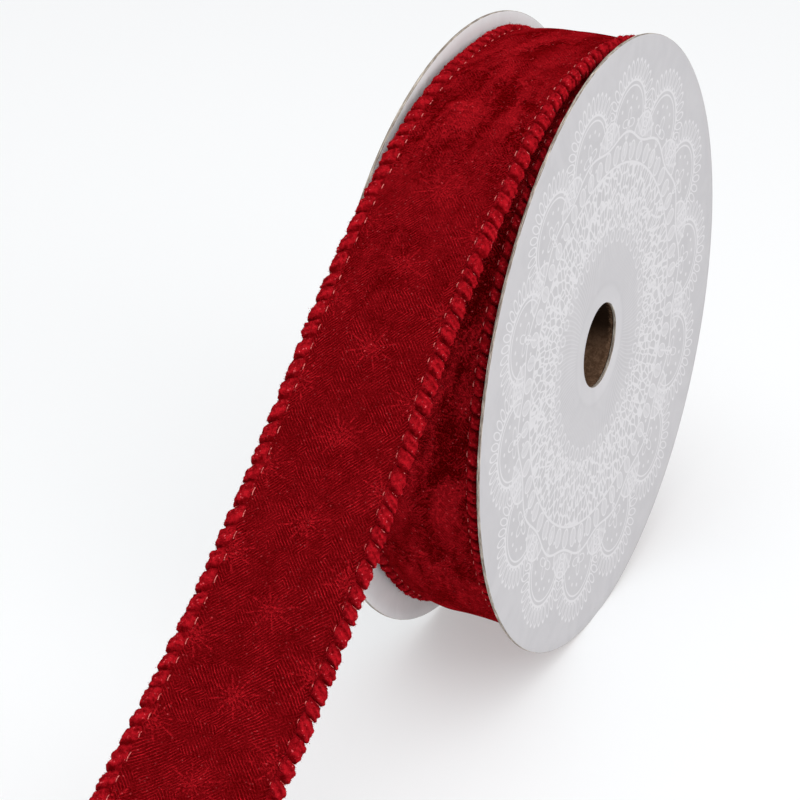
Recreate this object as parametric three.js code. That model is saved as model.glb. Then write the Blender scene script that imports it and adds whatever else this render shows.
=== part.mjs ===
// A roll of wide velvet ribbon on a card spool: two round card flanges on a cardboard core,
// the ribbon wound between them, and its loose end leading down to the surface it stands on.
// Millimetres, +Z up. +X runs along the spool's axis towards the printed flange, and the
// loose end leads away towards -Y. The origin is on the surface, under the middle of the whole.
import * as THREE from "three";

// Spool
const clearance = 0.3;
const flangeRadius = 87;
const cardThickness = 0.8;
const boreRadius = 12;
const rimSpacing = 44;
const dishDepth = 1.5;
const hubRadius = 30;
const flareRadii = [46, 66];
const flangeWarp = 1.3;
const warpAngle = 30;
const restSpotWidth = 12;
const flangeSteps = 64;
const coreWall = 1.5;
const coreSteps = 40;

// Ribbon
const velvetThickness = 1.4;
const shoulderWidth = 13;
const trimWidth = 4.3;
const trimHeight = 3.6;
const trimSides = 6;
const lumpPitch = 5.8;
const stepsPerLump = 2;
const valleyShare = 0.7;
const strandSlant = 0.55;

// Wound roll
const lapAngle = 108;
const stepAngle = 0.25;
const hiddenSteps = 12;
const coveredAngle = 48;
const turnHalfWidth = 18.2;
const rollHalfWidth = 19;
const trimSpotDepth = 5;
const shoulderShare = 0.55;
const leftSagShare = 0.18;

// Angles run round the axis from the front: 0 front, 90 top, 180 back, 270 bottom.
// left, crown and right are the outer radius at the left trim, the velvet and the right trim.
const rollForm = [
  { angle: 108, left: 83.6, crown: 84.3, right: 85.2 },
  { angle: 150, left: 83.6, crown: 83.9, right: 84.4 },
  { angle: 180, left: 83.2, crown: 83.0, right: 83.4 },
  { angle: 225, left: 82.6, crown: 81.6, right: 82.2 },
  { angle: 270, left: 82.2, crown: 80.8, right: 81.4 },
  { angle: 285, left: 81.6, crown: 80.4, right: 81.4 },
  { angle: 300, left: 80.4, crown: 80.4, right: 82.2 },
  { angle: 318, left: 78.2, crown: 81.8, right: 83.8 },
  { angle: 337, left: 79.2, crown: 83.0, right: 85.0 },
  { angle: 360, left: 81.4, crown: 84.0, right: 85.4 },
  { angle: 390, left: 82.8, crown: 84.3, right: 85.2 },
  { angle: 420, left: 82.6, crown: 83.8, right: 84.0 },
  { angle: 435, left: 80.0, crown: 82.8, right: 82.2 },
  { angle: 450, left: 79.0, crown: 82.2, right: 81.6 },
  { angle: 468, left: 79.3, crown: 82.0, right: 81.0 },
];

// The loose end, from its root on the roll to its cut end. along, front and height place the
// middle of the ribbon from the middle of the spool's axis, tilt is how far the right edge stands
// above the left, crown is how far the velvet's middle stands above the trims, half is half the
// full width.
const tailForm = [
  { along: -0.4, front: -25.6, height: 78.8, tilt: 2.0, crown: 1.0, half: 19.3 },
  { along: -0.4, front: -13, height: 81.8, tilt: 2.2, crown: 1.0, half: 19.3 },
  { along: -0.4, front: 0, height: 83.0, tilt: 2.5, crown: 1.0, half: 19.3 },
  { along: -0.4, front: 21.7, height: 82.1, tilt: 2.5, crown: 0.9, half: 19.4 },
  { along: -0.35, front: 43, height: 76.8, tilt: 2.2, crown: 0.8, half: 19.7 },
  { along: -0.3, front: 60, height: 68.8, tilt: 2.0, crown: 0.7, half: 20.0 },
  { along: -0.25, front: 80, height: 57.7, tilt: 2.1, crown: 0.6, half: 20.15 },
  { along: -0.25, front: 100, height: 43.7, tilt: 1.6, crown: 0.6, half: 20.2 },
  { along: -0.25, front: 120, height: 26.8, tilt: -0.7, crown: 0.6, half: 20.2 },
  { along: -0.25, front: 140, height: 10.7, tilt: -3.4, crown: 0.7, half: 20.2 },
  { along: -0.25, front: 160, height: -3.9, tilt: -5.9, crown: 0.8, half: 20.2 },
  { along: -0.25, front: 180, height: -16.5, tilt: -8.2, crown: 0.8, half: 20.2 },
  { along: -0.25, front: 200, height: -27.2, tilt: -9.6, crown: 0.8, half: 20.2 },
  { along: -0.25, front: 216, height: -35.5, tilt: -9.8, crown: 0.8, half: 20.2 },
  { along: -0.25, front: 234, height: -46.1, tilt: -8.2, crown: 0.7, half: 20.2 },
  { along: -0.25, front: 250, height: -57.5, tilt: -5.5, crown: 0.5, half: 20.2 },
  { along: -0.25, front: 264, height: -68.2, tilt: -3.0, crown: 0.2, half: 20.2 },
  { along: -0.25, front: 276, height: -76.3, tilt: -1.2, crown: -0.2, half: 20.2 },
  { along: -0.25, front: 289, height: -82.2, tilt: -0.3, crown: -0.6, half: 20.2 },
  { along: -0.25, front: 303, height: -84.6, tilt: 0, crown: -0.9, half: 20.2 },
  { along: -0.25, front: 317, height: -85.0, tilt: 0, crown: -1.0, half: 20.2 },
  { along: -0.25, front: 330, height: -85.0, tilt: 0, crown: -1.0, half: 20.2 },
];
const tailSteps = 60;
const acrossShares = [-1, -0.62, -0.24, 0.24, 0.62, 1];

// Sizes worked out from the driving ones
const restHalfAngle = Math.asin(restSpotWidth / 2 / flangeRadius);
const axisHeight = flangeRadius * Math.cos(restHalfAngle);
const hubFace = rimSpacing / 2 - dishDepth;
const coreInner = boreRadius + clearance;
const coreOuter = coreInner + coreWall;
const coreHalfLength = hubFace - cardThickness - clearance;
const rollInner = coreOuter + clearance;

const cardFinish = new THREE.MeshStandardMaterial({ color: 0xd5d4d8, roughness: 0.6, metalness: 0 });
const cardboardFinish = new THREE.MeshStandardMaterial({ color: 0x6b5642, roughness: 0.9, metalness: 0 });
const velvetFinish = new THREE.MeshStandardMaterial({ color: 0x8a0812, roughness: 0.85, metalness: 0 });
const trimFinish = new THREE.MeshStandardMaterial({ color: 0xa90f1c, roughness: 0.9, metalness: 0 });

function radians(degrees) {
  return THREE.MathUtils.degToRad(degrees);
}

// A point at a distance along the axis, a radius and an angle from the front
function aroundAxis(along, radius, angle) {
  return new THREE.Vector3(along, -radius * Math.cos(angle), radius * Math.sin(angle));
}

// Faces between neighbouring sections, each a closed run of the same number of points
function wallFaces(sectionCount, sides, closed) {
  const faces = [];
  const bands = closed ? sectionCount : sectionCount - 1;
  for (let band = 0; band < bands; band += 1) {
    const here = band * sides;
    const next = ((band + 1) % sectionCount) * sides;
    for (let side = 0; side < sides; side += 1) {
      const beside = (side + 1) % sides;
      faces.push(here + side, next + side, next + beside);
      faces.push(here + side, next + beside, here + beside);
    }
  }
  return faces;
}

// Faces that close the first and the last section of an open run, in strips from over to under
function capFaces(sectionCount, sides) {
  const faces = [];
  const last = (sectionCount - 1) * sides;
  for (let a = 0; a < sides / 2 - 1; a += 1) {
    const [b, c, d] = [a + 1, sides - 2 - a, sides - 1 - a];
    faces.push(a, b, c, a, c, d);
    faces.push(last + a, last + c, last + b, last + a, last + d, last + c);
  }
  return faces;
}

// A solid through a run of sections, which closes on itself or is capped at both ends
function solidThrough(sections, closed) {
  const sides = sections[0].length;
  const walls = wallFaces(sections.length, sides, closed);
  const caps = closed ? [] : capFaces(sections.length, sides);
  const geometry = new THREE.BufferGeometry().setFromPoints(sections.flat());
  geometry.setIndex([...walls, ...caps]);
  return geometry;
}

// Smooth curve through one or more named columns of a table, a row for each knot
function columnCurve(rows, names) {
  const knots = rows.map((row) => new THREE.Vector3(...names.map((name) => row[name])));
  return new THREE.CatmullRomCurve3(knots, false, "catmullrom", 0.5);
}

// Outward flare of a flange at a radius: none on the hub, all of it at the rim
function flareShare(radius) {
  return THREE.MathUtils.smoothstep(radius, hubRadius, flangeRadius);
}

// Card flange: outer face out from the bore, then its inner face back
function flangeGeometry(side, warp) {
  const radii = [boreRadius, hubRadius, ...flareRadii, flangeRadius];
  const profile = [
    ...radii.map((radius) => ({ radius, face: hubFace })),
    ...radii.toReversed().map((radius) => ({ radius, face: hubFace - cardThickness })),
  ];
  const sweep = 2 * (Math.PI - restHalfAngle);
  const sections = [];
  for (let step = 0; step < flangeSteps; step += 1) {
    const angle = -Math.PI / 2 + restHalfAngle + (sweep * step) / (flangeSteps - 1);
    const bend = dishDepth + warp * Math.cos(2 * (angle - radians(warpAngle)));
    const section = profile.map(({ radius, face }) =>
      aroundAxis(side * (face + bend * flareShare(radius)), radius, angle));
    sections.push(side > 0 ? section : section.toReversed());
  }
  return solidThrough(sections, true);
}

function coreGeometry() {
  const profile = [
    new THREE.Vector2(coreInner, -coreHalfLength),
    new THREE.Vector2(coreOuter, -coreHalfLength),
    new THREE.Vector2(coreOuter, coreHalfLength),
    new THREE.Vector2(coreInner, coreHalfLength),
    new THREE.Vector2(coreInner, -coreHalfLength),
  ];
  const geometry = new THREE.LatheGeometry(profile, coreSteps);
  return geometry.rotateZ(-Math.PI / 2);
}

// One section of the roll, from the bore's right edge over the ribbon's face to its left edge
function rollSection(angle, form, lump) {
  const trimReach = trimWidth * (1 - (1 - valleyShare) * (1 - lump));
  const trimRise = (trimHeight / 2) * (1 - lump) * (1 - valleyShare);
  const velvetHalf = rollHalfWidth - trimWidth;
  const trimEdge = velvetHalf + trimReach;
  const outline = [
    [-turnHalfWidth, rollInner],
    [-turnHalfWidth, form.left - trimSpotDepth],
    [-trimEdge, form.left - trimHeight / 2],
    [-velvetHalf - trimReach / 2, form.left - trimRise],
    [-velvetHalf, Math.min(form.left, form.crown) - trimHeight / 2],
    [-velvetHalf * shoulderShare, form.crown - leftSagShare * Math.max(0, form.crown - form.left)],
    [0, form.crown],
    [velvetHalf * shoulderShare, form.crown],
    [velvetHalf, Math.min(form.right, form.crown) - trimHeight / 2],
    [velvetHalf + trimReach / 2, form.right - trimRise],
    [trimEdge, form.right - trimHeight / 2],
    [turnHalfWidth, form.right - trimSpotDepth],
    [turnHalfWidth, rollInner],
  ];
  return outline.toReversed().map(([along, radius]) => aroundAxis(along, radius, angle));
}

// The wound roll: its last turn ends in a step where the loose end takes over
function rollGeometry() {
  const form = columnCurve(rollForm, ["left", "crown", "right"]);
  const knotAngles = rollForm.map(({ angle }) => angle);
  const startAngle = lapAngle + stepAngle;
  const endAngle = lapAngle + 360;
  const lumpSpan = lumpPitch / radians(1) / rollForm[0].crown;
  const lumpSteps = stepsPerLump * Math.round((endAngle - coveredAngle - startAngle) / lumpSpan);
  const angles = [];
  for (let step = 0; step < lumpSteps; step += 1) {
    angles.push(THREE.MathUtils.lerp(startAngle, endAngle - coveredAngle, step / lumpSteps));
  }
  for (let step = 0; step <= hiddenSteps; step += 1) {
    angles.push(endAngle - coveredAngle * (1 - step / hiddenSteps));
  }
  const sections = angles.map((angle, step) => {
    const row = Math.max(1, knotAngles.findIndex((knot) => knot >= angle));
    const share = (angle - knotAngles[row - 1]) / (knotAngles[row] - knotAngles[row - 1]);
    const { x, y, z } = form.getPoint((row - 1 + share) / (rollForm.length - 1));
    const lump = step < lumpSteps ? step % stepsPerLump : 0;
    return rollSection(radians(angle), { left: x, crown: y, right: z }, lump);
  });
  return solidThrough(sections, true);
}

const tailPath = columnCurve(tailForm, ["along", "front", "height"]);
const tailShape = columnCurve(tailForm, ["tilt", "crown", "half"]);

// The ribbon's middle, direction, outward normal and form at a share of the tail's length
function tailFrame(share) {
  const t = tailPath.getUtoTmapping(share);
  const middle = tailPath.getPoint(t).multiply(new THREE.Vector3(1, -1, 1));
  const ahead = tailPath.getTangent(t).multiply(new THREE.Vector3(1, -1, 1));
  const normal = new THREE.Vector3().crossVectors(ahead, new THREE.Vector3(1, 0, 0));
  const { x: tilt, y: crown, z: half } = tailShape.getPoint(t);
  return { middle, ahead, normal, tilt, crown, half };
}

// Height of the ribbon's middle surface over its path, at a distance across it
function riseAcross(frame, across, velvetHalf) {
  const edge = (Math.sign(across) * frame.tilt) / 2;
  const inward = THREE.MathUtils.clamp((velvetHalf - Math.abs(across)) / shoulderWidth, 0, 1);
  return edge + (frame.crown - edge) * Math.sin((inward * Math.PI) / 2);
}

function onRibbon(frame, across, rise, ahead) {
  const point = frame.middle.clone();
  point.addScaledVector(frame.normal, rise).addScaledVector(frame.ahead, ahead);
  point.x += across;
  point.z = Math.max(point.z, -axisHeight);
  return point;
}

function velvetOutline(frame) {
  const velvetHalf = frame.half - trimWidth - clearance;
  const middles = acrossShares.map((share) => {
    const across = share * velvetHalf;
    return new THREE.Vector2(across, riseAcross(frame, across, velvetHalf));
  });
  const over = middles.map(({ x, y }) => new THREE.Vector2(x, y + velvetThickness / 2));
  const under = middles.map(({ x, y }) => new THREE.Vector2(x, y - velvetThickness / 2));
  return [...over, ...under.toReversed()];
}

function tailGeometry() {
  const frames = Array.from({ length: tailSteps + 1 }, (_, step) => tailFrame(step / tailSteps));
  const sections = frames.map((frame) =>
    velvetOutline(frame).map(({ x, y }) => onRibbon(frame, x, y, 0)));
  return solidThrough(sections, false);
}

// Six-sided section of the whipped edging, full at a lump and drawn in between two
function trimOutline(frame, side, lump) {
  const size = lump ? 1 : valleyShare;
  const radius = (trimWidth * size) / 2;
  const across = side * (frame.half - trimWidth + radius);
  const rise = (side * frame.tilt) / 2;
  const outline = [];
  for (let corner = 0; corner < trimSides; corner += 1) {
    const angle = Math.PI - (2 * Math.PI * corner) / trimSides;
    const height = ((trimHeight * size) / 2) * Math.sin(angle);
    outline.push(new THREE.Vector2(across + radius * Math.cos(angle), rise + height));
  }
  return outline;
}

function trimGeometry(side) {
  const steps = stepsPerLump * Math.round(tailPath.getLength() / lumpPitch);
  const sections = [];
  for (let step = 0; step <= steps; step += 1) {
    const frame = tailFrame(step / steps);
    const inner = frame.half - trimWidth;
    const outline = trimOutline(frame, side, step % stepsPerLump);
    sections.push(outline.map(({ x, y }) =>
      onRibbon(frame, x, y, strandSlant * (Math.abs(x) - inner))));
  }
  return solidThrough(sections, false);
}

function named(name, geometry, material) {
  const mesh = new THREE.Mesh(geometry, material);
  mesh.name = name;
  return mesh;
}

const spool = new THREE.Group();
spool.add(named("flange_right", flangeGeometry(1, 0), cardFinish));
spool.add(named("flange_left", flangeGeometry(-1, flangeWarp), cardFinish));
spool.add(named("core", coreGeometry(), cardboardFinish));
spool.add(named("ribbon_roll", rollGeometry(), velvetFinish));
spool.add(named("tail", tailGeometry(), velvetFinish));
spool.add(named("tail_trim_left", trimGeometry(-1), trimFinish));
spool.add(named("tail_trim_right", trimGeometry(1), trimFinish));

// Stands the spool on the surface, with the origin under the middle of the whole
const reach = new THREE.Box3().setFromObject(spool);
spool.position.set(-(reach.min.x + reach.max.x) / 2, -(reach.min.y + reach.max.y) / 2, axisHeight);

const ribbonRoll = new THREE.Group();
ribbonRoll.name = "ribbon_roll_on_spool";
ribbonRoll.add(spool);

export default ribbonRoll;
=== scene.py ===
"""Looks of a roll of velvet ribbon on a card spool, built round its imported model.

The ribbon's outer turn and its loose end are one strip of embossed velvet with a whipped edging
along each side. It lies round the inner turns, between two round flanges of pale card on a
cardboard tube. The printed flange carries a plain lace-like pattern of arcs, loops and net.
"""

from __future__ import annotations

import logging
import math
from collections.abc import Callable
from dataclasses import dataclass, field
from enum import Enum
from typing import NamedTuple

import bpy
import numpy as np
from mathutils import Matrix, Vector, noise

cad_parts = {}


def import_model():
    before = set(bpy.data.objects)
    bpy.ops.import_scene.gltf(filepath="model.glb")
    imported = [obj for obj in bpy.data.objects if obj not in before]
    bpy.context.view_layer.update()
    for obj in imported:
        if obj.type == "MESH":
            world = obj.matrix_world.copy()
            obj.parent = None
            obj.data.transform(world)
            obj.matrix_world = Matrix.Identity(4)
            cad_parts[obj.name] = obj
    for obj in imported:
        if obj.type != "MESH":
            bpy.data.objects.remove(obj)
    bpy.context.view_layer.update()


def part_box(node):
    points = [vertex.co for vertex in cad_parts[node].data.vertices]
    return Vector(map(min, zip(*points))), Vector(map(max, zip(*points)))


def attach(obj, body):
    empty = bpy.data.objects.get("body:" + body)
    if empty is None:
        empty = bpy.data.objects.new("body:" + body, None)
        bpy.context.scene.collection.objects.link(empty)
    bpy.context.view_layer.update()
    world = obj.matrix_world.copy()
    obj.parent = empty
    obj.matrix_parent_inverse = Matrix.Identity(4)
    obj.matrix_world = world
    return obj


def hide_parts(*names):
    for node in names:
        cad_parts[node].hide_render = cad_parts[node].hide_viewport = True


log = logging.getLogger("ribbon_roll")

MM = 0.001
BODY = "root"
SEED = 7

# Least heights in mm over the surface, of the ribbon's path, its tufts and its single fibres
LOWEST_PATH = 0.08
LOWEST_TUFT = 0.05
LOWEST_FIBRE = 0.03

Tone = tuple[float, float, float, float]


class Side(Enum):
    """A side of the spool along its axis."""

    LEFT = -1
    RIGHT = 1

    @property
    def label(self) -> str:
        """Its word in the names of pieces."""
        return self.name.lower()


class Turn(NamedTuple):
    """Outer radii of the outer turn in mm, at an angle in degrees from the front over the top."""

    angle: float
    left: float
    crown: float
    right: float


class Station(NamedTuple):
    """The ribbon's middle from the middle of the spool's axis, its tilt, crown and half width."""

    along: float
    front: float
    height: float
    tilt: float
    crown: float
    half: float


class Crease(NamedTuple):
    """A soft ridge or trough: its middle, its direction from across the ribbon, and its size."""

    run: float
    across: float
    turn: float
    length: float
    width: float
    rise: float


OUTER_TURN = (
    Turn(108, 83.6, 84.3, 85.2),
    Turn(150, 83.6, 83.9, 84.4),
    Turn(180, 83.2, 83.0, 83.4),
    Turn(225, 82.6, 81.6, 82.2),
    Turn(270, 82.2, 80.8, 81.4),
    Turn(285, 81.6, 80.4, 81.4),
    Turn(300, 80.4, 80.4, 82.2),
    Turn(318, 78.2, 81.8, 83.8),
    Turn(337, 79.2, 83.0, 85.0),
    Turn(360, 81.4, 84.0, 85.4),
    Turn(390, 82.8, 84.3, 85.2),
    Turn(420, 82.6, 83.8, 84.0),
    Turn(435, 80.0, 82.8, 82.2),
    Turn(450, 79.0, 82.2, 81.6),
    Turn(468, 79.3, 82.0, 81.0),
)

LOOSE_END = (
    Station(-0.4, -25.6, 78.8, 2.0, 1.0, 19.3),
    Station(-0.4, -13, 81.8, 2.2, 1.0, 19.3),
    Station(-0.4, 0, 83.0, 2.5, 1.0, 19.3),
    Station(-0.4, 21.7, 82.1, 2.5, 0.9, 19.4),
    Station(-0.35, 43, 76.8, 2.2, 0.8, 19.7),
    Station(-0.3, 60, 68.8, 2.0, 0.7, 20.0),
    Station(-0.25, 80, 57.7, 2.1, 0.6, 20.15),
    Station(-0.25, 100, 43.7, 1.6, 0.6, 20.2),
    Station(-0.25, 120, 26.8, -0.7, 0.6, 20.2),
    Station(-0.25, 140, 10.7, -3.4, 0.7, 20.2),
    Station(-0.25, 160, -3.9, -5.9, 0.8, 20.2),
    Station(-0.25, 180, -16.5, -8.2, 0.8, 20.2),
    Station(-0.25, 200, -27.2, -9.6, 0.8, 20.2),
    Station(-0.25, 216, -35.5, -9.8, 0.8, 20.2),
    Station(-0.25, 234, -46.1, -8.2, 0.7, 20.2),
    Station(-0.25, 250, -57.5, -5.5, 0.5, 20.2),
    Station(-0.25, 264, -68.2, -3.0, 0.2, 20.2),
    Station(-0.25, 276, -76.3, -1.2, -0.2, 20.2),
    Station(-0.25, 289, -82.2, -0.3, -0.6, 20.2),
    Station(-0.25, 303, -84.6, 0, -0.9, 20.2),
    Station(-0.25, 317, -85.0, 0, -1.0, 20.2),
    Station(-0.25, 330, -85.0, 0, -1.0, 20.2),
)

CREASES = (
    Crease(150, 3, -50, 30, 6, 0.40),
    Crease(182, -5, -56, 28, 6, -0.40),
    Crease(214, 4, -60, 30, 6, 0.35),
    Crease(522, -5, -48, 34, 5, 0.60),
    Crease(531, 4, -52, 34, 5, -0.60),
    Crease(548, -3, -50, 36, 6, 0.60),
    Crease(571, 5, -58, 32, 6, -0.45),
    Crease(598, -6, -64, 36, 7, 0.30),
    Crease(640, 4, -70, 40, 8, -0.25),
    Crease(700, -5, -72, 44, 9, 0.25),
)


# Shader nodes


@dataclass(frozen=True)
class Field:
    """A number that changes over a surface, as the output of a shader node."""

    bench: NodeBench
    socket: bpy.types.NodeSocket

    def __add__(self, other: Field | float) -> Field:
        """The sum."""
        return self.bench.math("ADD", self, other)

    def __radd__(self, other: float) -> Field:
        """The sum."""
        return self.bench.math("ADD", self, other)

    def __sub__(self, other: Field | float) -> Field:
        """The difference."""
        return self.bench.math("SUBTRACT", self, other)

    def __rsub__(self, other: float) -> Field:
        """The difference."""
        return self.bench.math("SUBTRACT", other, self)

    def __mul__(self, other: Field | float) -> Field:
        """The product."""
        return self.bench.math("MULTIPLY", self, other)

    def __truediv__(self, other: Field | float) -> Field:
        """The quotient."""
        return self.bench.math("DIVIDE", self, other)

    def size(self) -> Field:
        """The number without its sign."""
        return self.bench.math("ABSOLUTE", self)

    def most(self, other: Field | float) -> Field:
        """The larger of two numbers."""
        return self.bench.math("MAXIMUM", self, other)

    def least(self, other: Field | float) -> Field:
        """The smaller of two numbers."""
        return self.bench.math("MINIMUM", self, other)

    def swing(self, top: float) -> Field:
        """The number folded back and forth between nil and a top."""
        return self.bench.math("PINGPONG", self, top)

    def whole(self) -> Field:
        """The nearest whole number."""
        return self.bench.math("ROUND", self)

    def span(self, other: Field) -> Field:
        """The length of a line whose two square parts are these numbers."""
        return self.bench.math("SQRT", self * self + other * other)

    def off_step(self, step: float) -> Field:
        """How far the number is from the nearest whole number of steps."""
        return self - (self / step).whole() * step

    def band(self, width: float, soft: float) -> Field:
        """A soft line along the places where this distance is nil.

        Args:
            width: The line's full width, in the distance's own units.
            soft: How far its edge fades out.

        Returns:
            A mask, 1 on the line and 0 off it.
        """
        return self.size().ramp(width / 2 + soft, width / 2)

    def ramp(self, start: float, end: float, low: float = 0.0, high: float = 1.0) -> Field:
        """A smooth step.

        Args:
            start: The value at which the step begins.
            end: The value at which it is done.
            low: The result before the step.
            high: The result after it.

        Returns:
            The stepped number.
        """
        made = self.bench.node(
            "ShaderNodeMapRange",
            {"Value": self, "From Min": start, "From Max": end, "To Min": low, "To Max": high},
            interpolation_type="SMOOTHSTEP",
        )
        return Field(self.bench, made.outputs[0])


@dataclass(frozen=True)
class NodeBench:
    """Adds nodes to one shader tree and wires them."""

    tree: bpy.types.NodeTree

    def node(self, kind: str, inputs: dict[str | int, object] | None = None,
             **settings: object) -> bpy.types.ShaderNode:
        """Adds a node.

        Args:
            kind: The node's type.
            inputs: Values, sockets or fields for its inputs, by name or number.
            settings: Its own properties.

        Returns:
            The new node.
        """
        made = self.tree.nodes.new(kind)
        for key, value in settings.items():
            setattr(made, key, value)
        self.dress(made, inputs or {})
        return made

    def dress(self, node: bpy.types.ShaderNode, inputs: dict[str | int, object]) -> None:
        """Feeds several inputs of a node, by name or number."""
        for key, value in inputs.items():
            self.feed(value, node.inputs[key])

    def feed(self, value: object, socket: bpy.types.NodeSocket) -> None:
        """Gives an input its value.

        Args:
            value: A field or socket, which is linked to it, or a plain value, which is set on it.
            socket: The input.
        """
        if isinstance(value, Field):
            value = value.socket
        if isinstance(value, bpy.types.NodeSocket):
            self.tree.links.new(value, socket)
        else:
            socket.default_value = value

    def math(self, operation: str, first: object, second: object = 0.0) -> Field:
        """A Math node's result."""
        made = self.node("ShaderNodeMath", {0: first, 1: second}, operation=operation)
        return Field(self, made.outputs[0])

    def parts(self, vector: bpy.types.NodeSocket) -> tuple[Field, Field, Field]:
        """The three numbers of a vector."""
        made = self.node("ShaderNodeSeparateXYZ", {0: vector})
        return tuple(Field(self, out) for out in made.outputs)

    def point(self, x: object, y: object, z: object = 0.0) -> bpy.types.NodeSocket:
        """A vector of three numbers."""
        return self.node("ShaderNodeCombineXYZ", {0: x, 1: y, 2: z}).outputs[0]

    def noise(self, place: bpy.types.NodeSocket, scale: object, detail: float = 2.0,
              roughness: float = 0.5, distortion: float = 0.0) -> Field:
        """Cloudy noise, about 0.5 on average.

        Args:
            place: Where it is looked up.
            scale: How many clouds go into a unit of length.
            detail: How many finer layers it has.
            roughness: How strong the finer layers are.
            distortion: How far it is pulled about.

        Returns:
            The noise.
        """
        made = self.node("ShaderNodeTexNoise", {
            "Vector": place,
            "Scale": scale,
            "Detail": detail,
            "Roughness": roughness,
            "Distortion": distortion,
        })
        return Field(self, made.outputs[0])

    def cells(self, place: bpy.types.NodeSocket, scale: float, feature: str = "F1",
              randomness: float = 1.0) -> bpy.types.ShaderNode:
        """A Voronoi texture at a place."""
        inputs = {"Vector": place, "Scale": scale, "Randomness": randomness}
        return self.node("ShaderNodeTexVoronoi", inputs, feature=feature)

    def blend(self, share: object, first: object, second: object) -> bpy.types.NodeSocket:
        """Mixes two colours.

        Args:
            share: How much of the second one there is.
            first: A colour.
            second: Another colour.

        Returns:
            The mixed colour.
        """
        made = self.node("ShaderNodeMix", data_type="RGBA")
        sockets = [s for s in made.inputs if s.enabled]
        for socket, value in zip(sockets, (share, first, second), strict=True):
            self.feed(value, socket)
        return next(s for s in made.outputs if s.enabled)

    def bump(self, height: object, distance: float, strength: float = 1.0) -> bpy.types.NodeSocket:
        """A normal raised by a height, which counts in units of a distance in metres."""
        inputs = {"Height": height, "Distance": distance, "Strength": strength}
        return self.node("ShaderNodeBump", inputs).outputs[0]

    def in_mm(self, place: bpy.types.NodeSocket) -> bpy.types.NodeSocket:
        """A place in metres turned into mm."""
        inputs = {0: place, "Scale": 1 / MM}
        return self.node("ShaderNodeVectorMath", inputs, operation="SCALE").outputs[0]

    def object_mm(self, origin: Vector | None = None) -> bpy.types.NodeSocket:
        """Looks up places on the object.

        Args:
            origin: The place in metres that they count from, or none for the object's own.

        Returns:
            The places in mm.
        """
        place = self.node("ShaderNodeTexCoord").outputs["Object"]
        shift = origin if origin is not None else Vector()
        moved = self.node("ShaderNodeVectorMath", {0: place, 1: shift}, operation="SUBTRACT")
        return self.in_mm(moved.outputs[0])

    def cut_mm(self) -> bpy.types.NodeSocket:
        """Places on the flat cloth in mm: across it and along it."""
        return self.in_mm(self.node("ShaderNodeUVMap", uv_map="cut").outputs[0])


def new_group(name: str, inputs: dict[str, str], outputs: dict[str, str]) -> tuple[
        bpy.types.NodeTree, bpy.types.ShaderNode, NodeBench]:
    """Starts a shader node group.

    Args:
        name: The group's name.
        inputs: Its inputs, as name to socket type.
        outputs: Its outputs, as name to socket type.

    Returns:
        The tree, its input node and a bench for it.
    """
    tree = bpy.data.node_groups.new(name, "ShaderNodeTree")
    for label, kind in inputs.items():
        tree.interface.new_socket(label, in_out="INPUT", socket_type=kind)
    for label, kind in outputs.items():
        tree.interface.new_socket(label, in_out="OUTPUT", socket_type=kind)
    return tree, tree.nodes.new("NodeGroupInput"), NodeBench(tree)


def pile_group() -> bpy.types.NodeTree:
    """Builds the fibre pile that velvet, edging and thread share.

    Returns:
        A group that gives a fine height and a patchy shade.
    """
    tree, entry, bench = new_group(
        "pile",
        {"Place": "NodeSocketVector", "Grain": "NodeSocketFloat"},
        {"Height": "NodeSocketFloat", "Shade": "NodeSocketFloat"},
    )
    place = entry.outputs["Place"]
    fine = bench.noise(place, entry.outputs["Grain"], 3.0, 0.7)
    patches = bench.noise(place, 0.16, 4.0, 0.62, 0.6)
    tufts = bench.noise(place, 0.55, 2.0, 0.6)
    shade = patches.ramp(0.3, 0.7) * 0.6 + tufts.ramp(0.25, 0.75) * 0.4
    bench.node("NodeGroupOutput", {"Height": fine, "Shade": shade})
    return tree


def mottle_group() -> bpy.types.NodeTree:
    """Builds the unevenness that paper and board share.

    Returns:
        A group that gives clouds, tiny flecks and a fine height.
    """
    tree, entry, bench = new_group(
        "mottle",
        {"Place": "NodeSocketVector"},
        {"Clouds": "NodeSocketFloat", "Flecks": "NodeSocketFloat", "Height": "NodeSocketFloat"},
    )
    place = entry.outputs["Place"]
    clouds = bench.noise(place, 0.07, 5.0, 0.62, 1.2)
    flecks = bench.noise(place, 0.55, 2.0, 0.5, 0.3).ramp(0.66, 0.8)
    height = bench.noise(place, 2.2, 3.0, 0.6)
    bench.node("NodeGroupOutput", {"Clouds": clouds, "Flecks": flecks, "Height": height})
    return tree


@dataclass
class SharedEffects:
    """Node groups that several finishes use, each built once."""

    pile: bpy.types.NodeTree = field(default_factory=pile_group)
    mottle: bpy.types.NodeTree = field(default_factory=mottle_group)


def new_material(name: str) -> tuple[bpy.types.Material, NodeBench, bpy.types.ShaderNode]:
    """Starts a material.

    Args:
        name: The material's name.

    Returns:
        The material, a bench for its tree and its Principled BSDF.
    """
    material = bpy.data.materials.new(name)
    material.use_nodes = True
    shader = material.node_tree.nodes["Principled BSDF"]
    return material, NodeBench(material.node_tree), shader


def tone(red: float, green: float, blue: float) -> Tone:
    """A colour with full cover."""
    return (red, green, blue, 1.0)


# Finishes


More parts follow.
